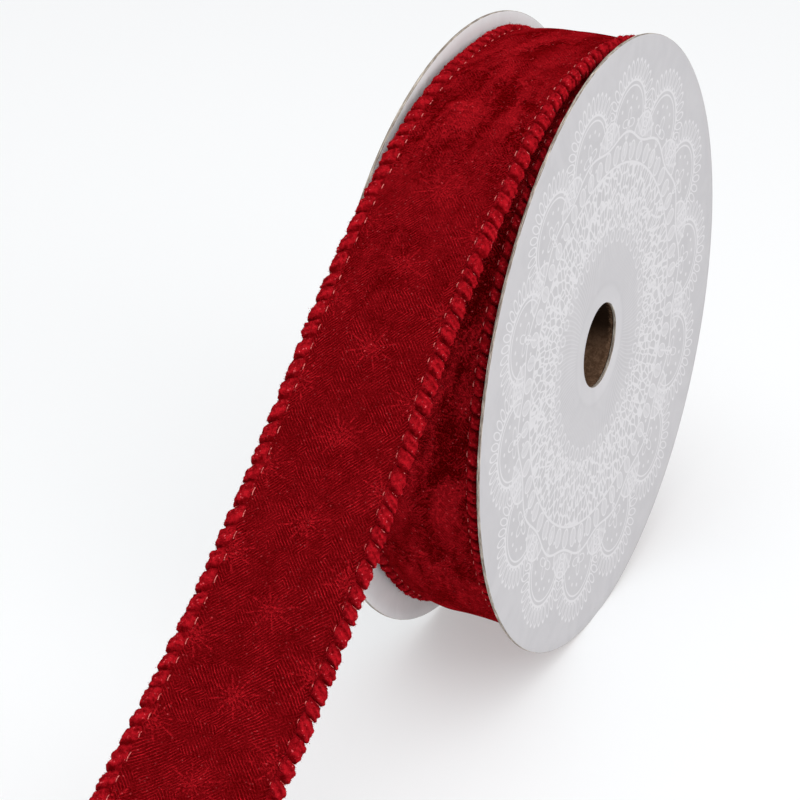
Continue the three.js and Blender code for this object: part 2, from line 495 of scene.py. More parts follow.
@dataclass(frozen=True)
class VelvetFinish:
    """Crimson velvet, deep on its ground, with painted sheen on its embossed lines, painted shade on its
    creases and pile, and painted glints.
    """

    name: str = "embossed_velvet"
    ground: Tone = tone(0.060, 0.0, 0.0001)
    # Painted sheen: this tone makes the embossed lines brighter than the ground.
    raised: Tone = tone(0.600, 0.0130, 0.0220)
    # Painted glints: this tone marks tiny highlights on fibre ends.
    painted_glint: Tone = tone(0.74, 0.105, 0.115)
    grain: float = 2.1
    relief: float = 0.5
    roughness: float = 0.8
    sheen: float = 0.32
    sheen_roughness: float = 0.4
    sheen_tint: Tone = tone(1.0, 0.006, 0.016)

    def build(self, effects: SharedEffects) -> bpy.types.Material:
        """Builds the material.

        Args:
            effects: The shared node groups.

        Returns:
            The velvet material, for a mesh whose UV map "cut" holds the flat cloth in metres.
        """
        material, bench, shader = new_material(self.name)
        place = bench.cut_mm()
        pattern = VelvetPattern(bench, place)
        inputs = {"Place": place, "Grain": self.grain}
        pile = bench.node("ShaderNodeGroup", inputs, node_tree=effects.pile)
        fuzz = Field(bench, pile.outputs["Height"]).ramp(0.38, 0.62)
        shade = Field(bench, pile.outputs["Shade"])
        crushed = pattern.crushed()
        rucks = pattern.rucks()
        emboss = pattern.hatching() * (1.0 - crushed * 0.2)
        emboss = emboss.most(pattern.stars() * 0.85)
        emboss = emboss.most(pattern.squiggles() * crushed * 0.85)
        # Painted shade: the pile's patches and the creases' flanks are made lighter and darker in colour.
        crease_and_pile_shade = (shade - 0.5) * (crushed * 0.14 + 0.10) + (rucks - 0.5) * (crushed * 0.50)
        lift = emboss * (fuzz * 0.40 + 0.36) * (1.0 - crushed * 0.30) + fuzz * 0.12 + crease_and_pile_shade
        lift = lift + 0.055 - crushed * 0.06
        # Painted sheen: the embossed lines and the crushed pile's ridges come out brighter than the
        # ground.
        colour = bench.blend(lift.most(0.0).least(1.0), self.ground, self.raised)
        height = emboss * 0.9 + fuzz * 0.25 + shade * crushed * 0.9 + rucks * crushed * 3.0
        bench.dress(shader, {
            # Painted glints are mixed over the colour here.
            "Base Color": bench.blend(pattern.glints(emboss), colour, self.painted_glint),
            "Normal": bench.bump(height, self.relief * MM),
            "Roughness": self.roughness,
            "Specular IOR Level": 0.0,
            "Sheen Weight": self.sheen,
            "Sheen Roughness": self.sheen_roughness,
            "Sheen Tint": self.sheen_tint,
        })
        return material


@dataclass(frozen=True)
class VelvetPattern:
    """What is pressed into the velvet, on the flat cloth in mm.

    It is embossed with herringbone hatching and with eight-rayed stars. Where it is wound and
    pressed, its pile is crushed to short crooked ridges instead.
    """

    bench: NodeBench
    place: bpy.types.NodeSocket
    hatch_pitch: float = 0.68
    hatch_angle: float = 38.0
    column_width: float = 6.6
    star_across: float = 14.2
    star_along: float = 24.0
    star_rays: int = 8
    star_reach: float = 6.6
    short_ray: float = 0.62
    crushed_until: float = 585.0
    crushed_fade_before: float = 40.0
    crushed_fade_after: float = 70.0

    def crushed(self) -> Field:
        """Says how far the pile is crushed.

        Returns:
            A share, near 1 where the ribbon is wound and near 0 on its loose end.
        """
        _, along, _ = self.bench.parts(self.place)
        last = self.crushed_until + self.crushed_fade_after
        wound = along.ramp(last, self.crushed_until - self.crushed_fade_before)
        patches = self.bench.noise(self.place, 0.05, 2.0).ramp(0.4, 0.6)
        return wound * (patches * 0.5 + 0.5) + patches * 0.08

    def hatching(self) -> Field:
        """Draws short fine ridges in columns, leaning left or right of the length by turns.

        Returns:
            Their height.
        """
        bench = self.bench
        across, along, _ = bench.parts(self.place)
        sway = (bench.noise(self.place, 0.09, 2.0) - 0.5) * 0.9
        column = bench.math("FLOOR", across / self.column_width + sway)
        block = bench.noise(bench.point(column * 3.7, along * 0.07), 1.0, 1.0)
        turned = bench.math("GREATER_THAN", block, 0.54)
        side = (column + turned).swing(1.0) * 2 - 1
        angle = math.radians(self.hatch_angle)
        wobble = (bench.noise(self.place, 0.3, 2.0) - 0.5) * 1.3
        cross = (across * side * math.cos(angle) - along * math.sin(angle)) / self.hatch_pitch
        cross = cross + wobble
        ridge = cross.swing(0.5).ramp(0.2, 0.42)
        run = across * side * math.sin(angle) + along * math.cos(angle)
        dash_place = bench.point(run * 0.42, cross.whole() * 5.3)
        dashes = bench.noise(dash_place, 1.0, 2.0, 0.6).ramp(0.42, 0.56)
        strong = bench.noise(self.place, 0.13, 2.0, 0.6).ramp(0.36, 0.6)
        return ridge * (dashes * 0.8 + 0.2) * (strong * 0.65 + 0.35)

    def rucks(self) -> Field:
        """Draws soft creases that run along the ribbon, a little askew, for their height and their
        painted shade.

        Returns:
            Their height.
        """
        across, along, _ = self.bench.parts(self.place)
        skewed = self.bench.point(across * 0.15 + along * 0.035, along * 0.042 - across * 0.03)
        return self.bench.noise(skewed, 1.0, 3.0, 0.55, 0.5).ramp(0.3, 0.7)

    def squiggles(self) -> Field:
        """Draws short crooked ridges of crushed pile, every way.

        Returns:
            Their height.
        """
        first = (self.bench.noise(self.place, 0.42, 1.0, 0.5, 0.6) - 0.5).band(0.065, 0.05)
        second = (self.bench.noise(self.place, 0.66, 1.0, 0.5, 0.3) - 0.47).band(0.085, 0.06)
        breaks = self.bench.noise(self.place, 0.45, 2.0, 0.6).ramp(0.45, 0.55)
        return (first * (0.15 + breaks * 0.85)).most(second * (0.85 - breaks * 0.85))

    def stars(self) -> Field:
        """Draws rayed bursts in a half-drop repeat, of dashes that fade outwards.

        Returns:
            Their height.
        """
        across, along, _ = self.bench.parts(self.place)
        column = (across / self.star_across).whole()
        shifted = along + column.swing(1.0) * (self.star_along / 2)
        row = (shifted / self.star_along).whole()
        x = across - column * self.star_across
        y = shifted - row * self.star_along
        reach = x.span(y)
        turn = self.bench.math("ARCTAN2", y, x)
        step = math.tau / (2 * self.star_rays)
        folded = turn.off_step(step)
        long_ray = (turn / step).whole().swing(1.0)
        tip = long_ray * (self.star_reach * (1 - self.short_ray)) + self.star_reach * self.short_ray
        ray = (reach * self.bench.math("SINE", folded)).band(0.22, 0.3)
        faded = (reach - tip).ramp(0.6, -1.4)
        breaks = self.bench.noise(self.place, 1.0, 2.0, 0.6).ramp(0.42, 0.54)
        return ray * faded * reach.ramp(0.2, 1.0, 0.4, 1.0) * (breaks * 0.7 + 0.1)

    def glints(self, emboss: Field) -> Field:
        """Scatters painted glints, tiny highlights on the ends of fibres.

        Args:
            emboss: The height of the raised lines, which carry more of them.

        Returns:
            Their brightness.
        """
        dots = self.bench.cells(self.place, 0.95)
        near = Field(self.bench, dots.outputs["Distance"]).ramp(0.24, 0.12)
        chosen = Field(self.bench, dots.outputs["Color"])
        return near * chosen.ramp(0.45, 0.95) * (emboss * 0.6 + 0.25)


@dataclass(frozen=True)
class EdgingFinish:
    """Fuzzy crimson yarn of the whipped edging, with painted shade in its seams and between its plies,
    and painted highlights on its lumps.
    """

    name: str = "whipped_yarn"
    # The deep tone carries the painted shade of the seams and plies.
    deep: Tone = tone(0.075, 0.0, 0.0003)
    bright: Tone = tone(0.50, 0.0090, 0.0170)
    # Painted highlight: this tone is dotted over the lumps' middles.
    shine: Tone = tone(0.90, 0.1300, 0.1500)
    grain: float = 2.6
    relief: float = 0.6
    roughness: float = 0.6
    sheen: float = 0.3
    sheen_roughness: float = 0.35
    sheen_tint: Tone = tone(1.0, 0.02, 0.04)
    seam_pitch: float = 5.0
    strand_round: float = 12.4
    plies: float = 2.0

    def build(self, effects: SharedEffects) -> bpy.types.Material:
        """Builds the material.

        Args:
            effects: The shared node groups.

        Returns:
            The yarn material. It reads Object coordinates, and the strand's UV map for the
            thread's seams, which lie one pitch apart there.
        """
        material, bench, shader = new_material(self.name)
        place = bench.object_mm()
        inputs = {"Place": place, "Grain": self.grain}
        pile = bench.node("ShaderNodeGroup", inputs, node_tree=effects.pile)
        fuzz = Field(bench, pile.outputs["Height"])
        clumps = bench.noise(place, 0.9, 2.0, 0.6, 0.5)
        lump = self.seam_shading(bench, place)
        ply = self.ply(bench)
        # Painted shade: darker between the plies, on top of the clumps' own uneven tone.
        lift = clumps.ramp(0.34, 0.66) * 0.42 + fuzz.ramp(0.36, 0.64) * 0.2 + ply * 0.2 + 0.1
        # Painted shade: the yarn darkens towards the seams between the lumps.
        lift = lift * (lump * 0.75 + 0.25)
        colour = bench.blend(lift.least(1.0), self.deep, self.bright)
        # Painted highlights: the shine tone is dotted over the lumps' middles.
        dots = bench.noise(place, 1.5, 1.0, 0.5).ramp(0.66, 0.76)
        height = clumps * 0.8 + fuzz * 0.3 + ply * 0.3
        bench.dress(shader, {
            "Base Color": bench.blend(dots * lump * ply * 0.8, colour, self.shine),
            "Normal": bench.bump(height, self.relief * MM),
            "Roughness": self.roughness,
            "Specular IOR Level": 0.0,
            "Sheen Weight": self.sheen,
            "Sheen Roughness": self.sheen_roughness,
            "Sheen Tint": self.sheen_tint,
        })
        return material

    def seam_shading(self, bench: NodeBench, place: bpy.types.NodeSocket) -> Field:
        """Finds the painted shade in the seams between the lumps.

        Args:
            bench: The material's bench.
            place: Places on the object in mm.

        Returns:
            0 where the thread draws the strand in, 1 on the lump's middle.
        """
        _, along, _ = bench.parts(bench.cut_mm())
        away = (along / self.seam_pitch).swing(0.5) * 2
        ragged = (bench.noise(place, 0.9, 2.0) - 0.5) * 0.5
        return (away + ragged).ramp(0.0, 0.6)

    def ply(self, bench: NodeBench) -> Field:
        """Draws the soft strands that each lump is made of, whose colour is painted darker between them.

        Args:
            bench: The material's bench.

        Returns:
            1 on the middle of each, 0 between them.
        """
        around, along, _ = bench.parts(bench.cut_mm())
        phase = around / self.strand_round + along * (self.plies / self.seam_pitch)
        return phase.swing(0.5).ramp(0.0, 0.4)


@dataclass(frozen=True)
class ThreadFinish:
    """The thin pale thread that binds the edging."""

    name: str = "binding_thread"
    colour: Tone = tone(0.74, 0.20, 0.18)
    dull: Tone = tone(0.34, 0.020, 0.025)
    grain: float = 1.3
    relief: float = 0.1
    roughness: float = 0.5

    def build(self, effects: SharedEffects) -> bpy.types.Material:
        """Builds the material.

        Args:
            effects: The shared node groups.

        Returns:
            The thread material.
        """
        material, bench, shader = new_material(self.name)
        inputs = {"Place": bench.object_mm(), "Grain": self.grain}
        pile = bench.node("ShaderNodeGroup", inputs, node_tree=effects.pile)
        fuzz = Field(bench, pile.outputs["Height"])
        bench.dress(shader, {
            "Base Color": bench.blend(fuzz.ramp(0.38, 0.58), self.dull, self.colour),
            "Normal": bench.bump(fuzz, self.relief * MM, 0.6),
            "Roughness": self.roughness,
            "Specular IOR Level": 0.0,
        })
        return material


def built_once(finish: EdgingFinish | ThreadFinish, effects: SharedEffects) -> bpy.types.Material:
    """The material of a finish, built when it is first asked for."""
    return bpy.data.materials.get(finish.name) or finish.build(effects)


@dataclass(frozen=True)
class CardFinish:
    """Pale card with a brown-grey cut edge, and on its face a print of lace where wanted."""

    name: str
    axis: Vector
    rim: float
    bore: float
    printed: bool
    paper: Tone = tone(0.520, 0.507, 0.522)
    shadowed: Tone = tone(0.488, 0.476, 0.492)
    # Painted light: the plain flange's paper tones are far lighter than the printed one's, standing in
    # for light on its inner face.
    painted_lit_paper: Tone = tone(0.82, 0.84, 0.85)
    painted_lit_shadowed: Tone = tone(0.77, 0.79, 0.80)
    ink: Tone = tone(0.660, 0.646, 0.662)
    cut: Tone = tone(0.165, 0.130, 0.105)
    liner: Tone = tone(0.62, 0.56, 0.48)
    cut_from: float = 0.16
    cut_whole: float = 0.06
    relief: float = 0.05
    roughness: float = 0.55
    gloss: float = 0.35

    def build(self, effects: SharedEffects) -> bpy.types.Material:
        """Builds the material.

        Args:
            effects: The shared node groups.

        Returns:
            The card material, which reads Object coordinates from the spool's axis.
        """
        material, bench, shader = new_material(self.name)
        place = bench.object_mm(self.axis)
        mottle = bench.node("ShaderNodeGroup", {"Place": place}, node_tree=effects.mottle)
        clouds = Field(bench, mottle.outputs["Clouds"])
        flecks = Field(bench, mottle.outputs["Flecks"])
        # Painted light: the plain flange takes the lighter paper tones.
        shadowed = self.shadowed if self.printed else self.painted_lit_shadowed
        paper = self.paper if self.printed else self.painted_lit_paper
        colour = bench.blend(clouds.ramp(0.32, 0.68), shadowed, paper)
        colour = bench.blend(flecks * 0.10, colour, self.cut)
        _, across, up = bench.parts(place)
        reach = across.span(up)
        if self.printed:
            turn = bench.math("ARCTAN2", up, across)
            colour = bench.blend(LacePrint(bench, reach, turn).mask(), colour, self.ink)
        height = Field(bench, mottle.outputs["Height"])
        bench.dress(shader, {
            "Base Color": bench.blend(self.edge_share(reach), colour, self.edge(bench, place)),
            "Normal": bench.bump(height, self.relief * MM, 0.35),
            "Roughness": self.roughness,
            "Specular IOR Level": self.gloss,
        })
        return material

    def edge_share(self, reach: Field) -> Field:
        """Finds where the card is cut.

        Args:
            reach: The distance from the spool's axis.

        Returns:
            1 on its rim and its bore, 0 elsewhere.
        """
        rim = reach.ramp(self.rim - self.cut_from, self.rim - self.cut_whole)
        bore = reach.ramp(self.bore + self.cut_from, self.bore + self.cut_whole)
        return rim.most(bore)

    def edge(self, bench: NodeBench, place: bpy.types.NodeSocket) -> bpy.types.NodeSocket:
        """Colours the cut card, with layers of board and a lighter liner.

        Args:
            bench: The material's bench.
            place: Places on the object in mm.

        Returns:
            The colour.
        """
        inputs = {0: place, 1: (6.0, 0.25, 0.25)}
        drawn_out = bench.node("ShaderNodeVectorMath", inputs, operation="MULTIPLY").outputs[0]
        layers = bench.noise(drawn_out, 1.0, 3.0, 0.7)
        return bench.blend(layers.ramp(0.42, 0.66), self.cut, self.liner)


@dataclass(frozen=True)
class LacePrint:
    """A lace-like pattern of arcs, loops, fans and net in rings round the hole, in mm."""

    bench: NodeBench
    reach: Field
    turn: Field
    repeats: int = 14
    scallop_seat: float = 62.8
    scallop_radius: float = 12.0
    second_arc: float = 1.5
    loop_length: float = 6.0
    loop_width: float = 2.4
    loop_step: float = 0.19
    sprig_dots: float = 7.4
    fan_seat: float = 58.5
    fan_radius: float = 7.3
    fan_dots: float = 9.2
    fan_cord: float = 59.2
    dot_size: float = 0.4
    oval_ring: float = 54.8
    oval_length: float = 5.6
    oval_width: float = 4.2
    net_inner: float = 33.0
    net_middle: float = 41.5
    net_outer: float = 51.5
    net_loops: int = 42
    net_waves: int = 28
    hole_ring: float = 17.0

    def mask(self) -> Field:
        """The share of ink at each place."""
        strong = self.scallops().most(self.fans()).most(self.net()).most(self.ovals())
        return (strong * 0.92 + self.rays() * 0.3).least(1.0)

    def folded(self, count: int, offset: float = 0.0) -> tuple[Field, Field]:
        """Finds places beside the nearest of some equally spaced rays.

        Args:
            count: How many rays there are.
            offset: How far they are turned, in radians.

        Returns:
            Distances along the ray and across it.
        """
        angle = (self.turn + offset).off_step(math.tau / count)
        along = self.reach * self.bench.math("COSINE", angle)
        across = self.reach * self.bench.math("SINE", angle)
        return along, across

    def polar(self, along: Field, across: Field, seat: float) -> tuple[Field, Field]:
        """Distance and angle about a seat on the ray."""
        out = along - seat
        return out.span(across), self.bench.math("ARCTAN2", across, out)

    def oval(self, out: Field, side: Field, length: float, width: float) -> Field:
        """An oval's outline as a number that is 1 on it, less inside and more outside."""
        return (out / (length / 2)).span(side / (width / 2))

    def dots(self, radius: Field, angle: Field, at: float, count: int) -> Field:
        """Sets a ring of dots about a seat.

        Args:
            radius: Distances from the seat.
            angle: Angles about it.
            at: The ring's radius.
            count: How many dots a full ring has.

        Returns:
            The share of ink.
        """
        side = angle.off_step(math.tau / count) * at
        return (radius - at).span(side).ramp(self.dot_size + 0.3, self.dot_size)

    def scallops(self) -> Field:
        """Draws double arcs with a row of long loops round each, and a sprig inside.

        Returns:
            The share of ink.
        """
        along, across = self.folded(self.repeats)
        radius, angle = self.polar(along, across, self.scallop_seat)
        open_side = angle.size().ramp(2.02, 1.96)
        arcs = (radius - self.scallop_radius).band(0.5, 0.25)
        arcs = arcs.most((radius - self.scallop_radius + self.second_arc).band(0.25, 0.25))
        out = radius - (self.scallop_radius + self.loop_length / 2 + 0.1)
        beside = angle.off_step(self.loop_step) * radius
        loops = (self.oval(out, beside, self.loop_length, self.loop_width) - 0.86).band(0.16, 0.12)
        return (arcs.most(loops) * open_side).most(self.sprig(radius, angle, across))

    def sprig(self, radius: Field, angle: Field, across: Field) -> Field:
        """Draws a small bloom of four petals on a stalk, in a ring of dots.

        Args:
            radius: Distances from the scallop's seat.
            angle: Angles about it.
            across: Distances across its ray.

        Returns:
            The share of ink.
        """
        petals = self.bench.math("COSINE", angle * 4.0) * 1.4 + 3.0
        bloom = (radius - petals).band(0.35, 0.3)
        stalk = across.band(0.3, 0.25) * angle.size().ramp(2.4, 2.6) * radius.ramp(9.5, 9.0)
        heart = radius.ramp(1.1, 0.8)
        return bloom.most(heart).most(stalk).most(self.dots(radius, angle, self.sprig_dots, 12))

    def fans(self) -> Field:
        """Draws filled fans with ribs between the scallops, on a wavy cord.

        Returns:
            The share of ink.
        """
        along, across = self.folded(self.repeats, math.pi / self.repeats)
        radius, angle = self.polar(along, across, self.fan_seat)
        ribs = self.bench.math("COSINE", angle * 12.0).ramp(-0.2, 0.8)
        body = radius.ramp(self.fan_radius - 0.1, self.fan_radius - 0.4) * (ribs * 0.45 + 0.25)
        body = body * angle.size().ramp(1.5, 1.4)
        rim = (radius - self.fan_radius).band(0.4, 0.25) * angle.size().ramp(1.6, 1.5)
        tip = self.dots(radius, angle, self.fan_dots, 15) * angle.size().ramp(0.75, 0.7)
        wave = (self.reach - self.fan_cord - self.wave(self.repeats, 1.2)).band(0.45, 0.3)
        return body.most(rim).most(tip).most(wave)

    def wave(self, count: int, height: float) -> Field:
        """A wave round the hole."""
        return self.bench.math("COSINE", self.turn * float(count)) * height

    def ovals(self) -> Field:
        """Draws a ring of filled ovals with veins, and the cord under it.

        Returns:
            The share of ink.
        """
        along, across = self.folded(self.repeats * 4)
        outline = self.oval(along - self.oval_ring, across, self.oval_length, self.oval_width)
        vein = 1.0 - across.band(0.3, 0.3) * 0.5
        filled = outline.ramp(0.98, 0.9) * 0.5 * vein
        cord = (self.reach - self.net_outer).band(0.4, 0.3)
        return filled.most((outline - 0.95).band(0.1, 0.1)).most(cord)

    def net(self) -> Field:
        """Draws an irregular net of long cells, open towards the hole in a row of small loops.

        Returns:
            The share of ink.
        """
        around = self.bench.math("COSINE", self.turn) * 21.0
        beside = self.bench.math("SINE", self.turn) * 21.0
        place = self.bench.point(around, beside, self.reach * 0.27)
        cells = self.bench.cells(place, 1.0, "DISTANCE_TO_EDGE", 0.9)
        threads = Field(self.bench, cells.outputs["Distance"]).ramp(0.14, 0.06)
        inside = self.reach.ramp(self.net_inner - 0.3, self.net_inner + 0.3)
        inside = inside * self.reach.ramp(self.net_outer + 0.3, self.net_outer - 0.3)
        edge = self.reach - self.net_inner - 1.5 - self.wave(self.net_loops, 1.2)
        along, across = self.folded(self.net_loops)
        picots = (self.oval(along - self.net_inner + 2.0, across, 4.0, 3.0) - 0.86).band(0.2, 0.14)
        middle = self.reach - self.net_middle - self.wave(self.net_waves, 1.6)
        lines = edge.band(0.4, 0.3).most(picots * 0.7).most(middle.band(0.4, 0.3))
        return (threads * inside).most(lines)

    def rays(self) -> Field:
        """Draws fine faint lines that fan out from a plain ring round the hole.

        Returns:
            The share of ink.
        """
        swirl = self.turn * 132.0 + self.bench.math("SINE", self.reach * 0.33) * 2.2
        lines = self.bench.math("SINE", swirl).ramp(0.1, 0.9)
        inside = self.reach.ramp(self.hole_ring, self.hole_ring + 2)
        inside = inside * self.reach.ramp(self.net_inner + 1, self.net_inner - 2)
        halo = self.reach.ramp(self.hole_ring + 1, self.hole_ring - 1)
        return (lines * inside).most(halo * 0.8)


@dataclass(frozen=True)
class BoardFinish:
    """Rough brown cardboard of the core tube, sizes in mm from its middle.

    Between its ends it is painted darker, as the shade inside the tube, and most of all in its upper
    half, as painted shade.
    """

    axis: Vector
    name: str = "core_board"
    dark: Tone = tone(0.070, 0.036, 0.019)
    light: Tone = tone(0.170, 0.098, 0.060)
    # Painted shade: the darkest tone, inside the tube.
    tube_shade: Tone = tone(0.009, 0.0035, 0.001)
    shade_reach: float = 21.2
    shade_whole: float = 19.6
    shade_low: float = -7.0
    shade_high: float = 2.5
    relief: float = 0.15
    roughness: float = 0.9
    gloss: float = 0.08

    def build(self, effects: SharedEffects) -> bpy.types.Material:
        """Builds the material.

        Args:
            effects: The shared node groups.

        Returns:
            The board material.
        """
        material, bench, shader = new_material(self.name)
        place = bench.object_mm()
        mottle = bench.node("ShaderNodeGroup", {"Place": place}, node_tree=effects.mottle)
        fibres = bench.noise(place, 0.9, 4.0, 0.7, 0.8)
        colour = bench.blend(fibres.ramp(0.3, 0.72), self.dark, self.light)
        along, _, up = bench.parts(place)
        # Painted shade: darker deep inside the tube and on its upper wall.
        deep = (along - self.axis.x / MM).size() + fibres * 3
        deep = deep.ramp(self.shade_reach, self.shade_whole)
        high = (up - self.axis.z / MM + fibres * 3).ramp(self.shade_low, self.shade_high)
        tube_shade_mask = deep * (high * 0.8 + 0.2)
        height = fibres + Field(bench, mottle.outputs["Height"]) * 0.5
        bench.dress(shader, {
            "Base Color": bench.blend(tube_shade_mask * 0.97, colour, self.tube_shade),
            "Normal": bench.bump(height, self.relief * MM, 0.7),
            "Roughness": self.roughness,
            "Specular IOR Level": self.gloss,
        })
        return material


# Meshes


def eased(share: np.ndarray) -> np.ndarray:
    """A share from 0 to 1 with a soft start and end."""
    share = np.clip(share, 0, 1)
    return share * share * (3 - 2 * share)


def only(piece: bpy.types.Object | None = None) -> None:
    """Leaves one object selected and active, or none selected."""
    bpy.ops.object.select_all(action="DESELECT")
    if piece is not None:
        piece.select_set(True)
        bpy.context.view_layer.objects.active = piece


def edit_whole(piece: bpy.types.Object, *steps: Callable[[], object]) -> None:
    """Runs edit-mode steps on all of a mesh.

    Args:
        piece: The piece.
        steps: What is done, in order.
    """
    only(piece)
    bpy.ops.object.mode_set(mode="EDIT")
    bpy.ops.mesh.select_all(action="SELECT")
    for step in steps:
        step()
    bpy.ops.object.mode_set(mode="OBJECT")


def apply_all(piece: bpy.types.Object) -> None:
    """Applies every modifier, in order."""
    only(piece)
    for modifier in list(piece.modifiers):
        bpy.ops.object.modifier_apply(modifier=modifier.name)


def give_wall(piece: bpy.types.Object, wall: float, offset: float, softness: float,
              angle: float) -> None:
    """Thickens a sheet and softens its cut edges.

    Args:
        piece: The sheet.
        wall: Its thickness in mm.
        offset: Where the sheet lies in it, from -1 on its outer face to 1 on its inner one.
        softness: How far the edges are rounded, in mm.
        angle: The angle in degrees over which an edge is rounded.
    """
    thick = piece.modifiers.new("wall", "SOLIDIFY")
    thick.thickness = wall * MM
    thick.offset = offset
    soft = piece.modifiers.new("soft", "BEVEL")
    soft.width = softness * MM
    soft.segments = 2
    soft.limit_method = "ANGLE"
    soft.angle_limit = math.radians(angle)
    apply_all(piece)


def points_of(piece: bpy.types.Object) -> np.ndarray:
    """The mesh's points, one row each."""
    flat = np.empty(len(piece.data.vertices) * 3)
    piece.data.vertices.foreach_get("co", flat)
    return flat.reshape(-1, 3)


def normals_of(piece: bpy.types.Object) -> np.ndarray:
    """The normals at the mesh's points, one row each."""
    flat = np.empty(len(piece.data.vertices) * 3, np.float32)
    piece.data.vertices.foreach_get("normal", flat)
    return flat.reshape(-1, 3)


def move_points(piece: bpy.types.Object, points: np.ndarray) -> None:
    """Puts the mesh's points in new places."""
    piece.data.vertices.foreach_set("co", np.ascontiguousarray(points, float).ravel())
    piece.data.update()


def finish_piece(piece: bpy.types.Object, name: str, nodes: tuple[str, ...],
                 material: bpy.types.Material, crease: float = 40.0) -> bpy.types.Object:
    """Names and shades a finished piece, attaches it to the body and hides the model's nodes that it
    stands for.

    Args:
        piece: The piece, with its place in its mesh.
        name: Its name.
        nodes: The model's nodes that it stands for.
        material: Its material.
        crease: The angle in degrees over which an edge stays sharp.

    Returns:
        The same piece.
    """
    piece.name = name
    piece.data.name = name
    piece.data.materials.clear()
    piece.data.materials.append(material)
    only(piece)
    bpy.ops.object.shade_smooth_by_angle(angle=math.radians(crease))
    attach(piece, BODY)
    if nodes:
        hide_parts(*nodes)
    log.info("%s: %d faces", name, len(piece.data.polygons))
    return piece


@dataclass(frozen=True)
class Strip:
    """A flat strip of squares that is laid to a shape, as cloth or a rolled strand is.

    Its shape and its cut take shares across and along it. The shape gives points in mm, and the
    cut gives places on the flat strip in metres.
    """

    columns: int
    rows: int
    shape: Callable[[np.ndarray, np.ndarray], np.ndarray]
    cut: Callable[[np.ndarray, np.ndarray], np.ndarray]
    rolled: bool = False
    weld: float = 0.002

    def build(self) -> bpy.types.Object:
        """Lays the strip.

        Returns:
            A mesh in metres. Its UV map "cut" says where each corner lies on the flat strip.
        """
        only()
        bpy.ops.mesh.primitive_grid_add(x_subdivisions=self.columns, y_subdivisions=self.rows, size=1)
        piece = bpy.context.object
        flat = points_of(piece) + 0.5
        across, along = flat[:, 0], flat[:, 1]
        corner_points = np.empty(len(piece.data.loops), np.int32)
        piece.data.loops.foreach_get("vertex_index", corner_points)
        layer = piece.data.uv_layers[0]
        layer.name = "cut"
        layer.data.foreach_set("uv", self.cut(across, along)[corner_points].ravel())
        move_points(piece, self.shape(across, along) * MM)
        if self.rolled:
            self.close(piece)
        return piece

    def close(self, piece: bpy.types.Object) -> None:
        """Joins a rolled strip's long edges and fills its ends."""
        edit_whole(
            piece,
            lambda: bpy.ops.mesh.remove_doubles(threshold=self.weld * MM),
            lambda: bpy.ops.mesh.select_all(action="DESELECT"),
            lambda: bpy.ops.mesh.select_non_manifold(extend=False),
            lambda: bpy.ops.mesh.fill_holes(sides=0),
            lambda: bpy.ops.mesh.select_all(action="SELECT"),
            lambda: bpy.ops.mesh.normals_make_consistent(inside=False),
        )


# The spool


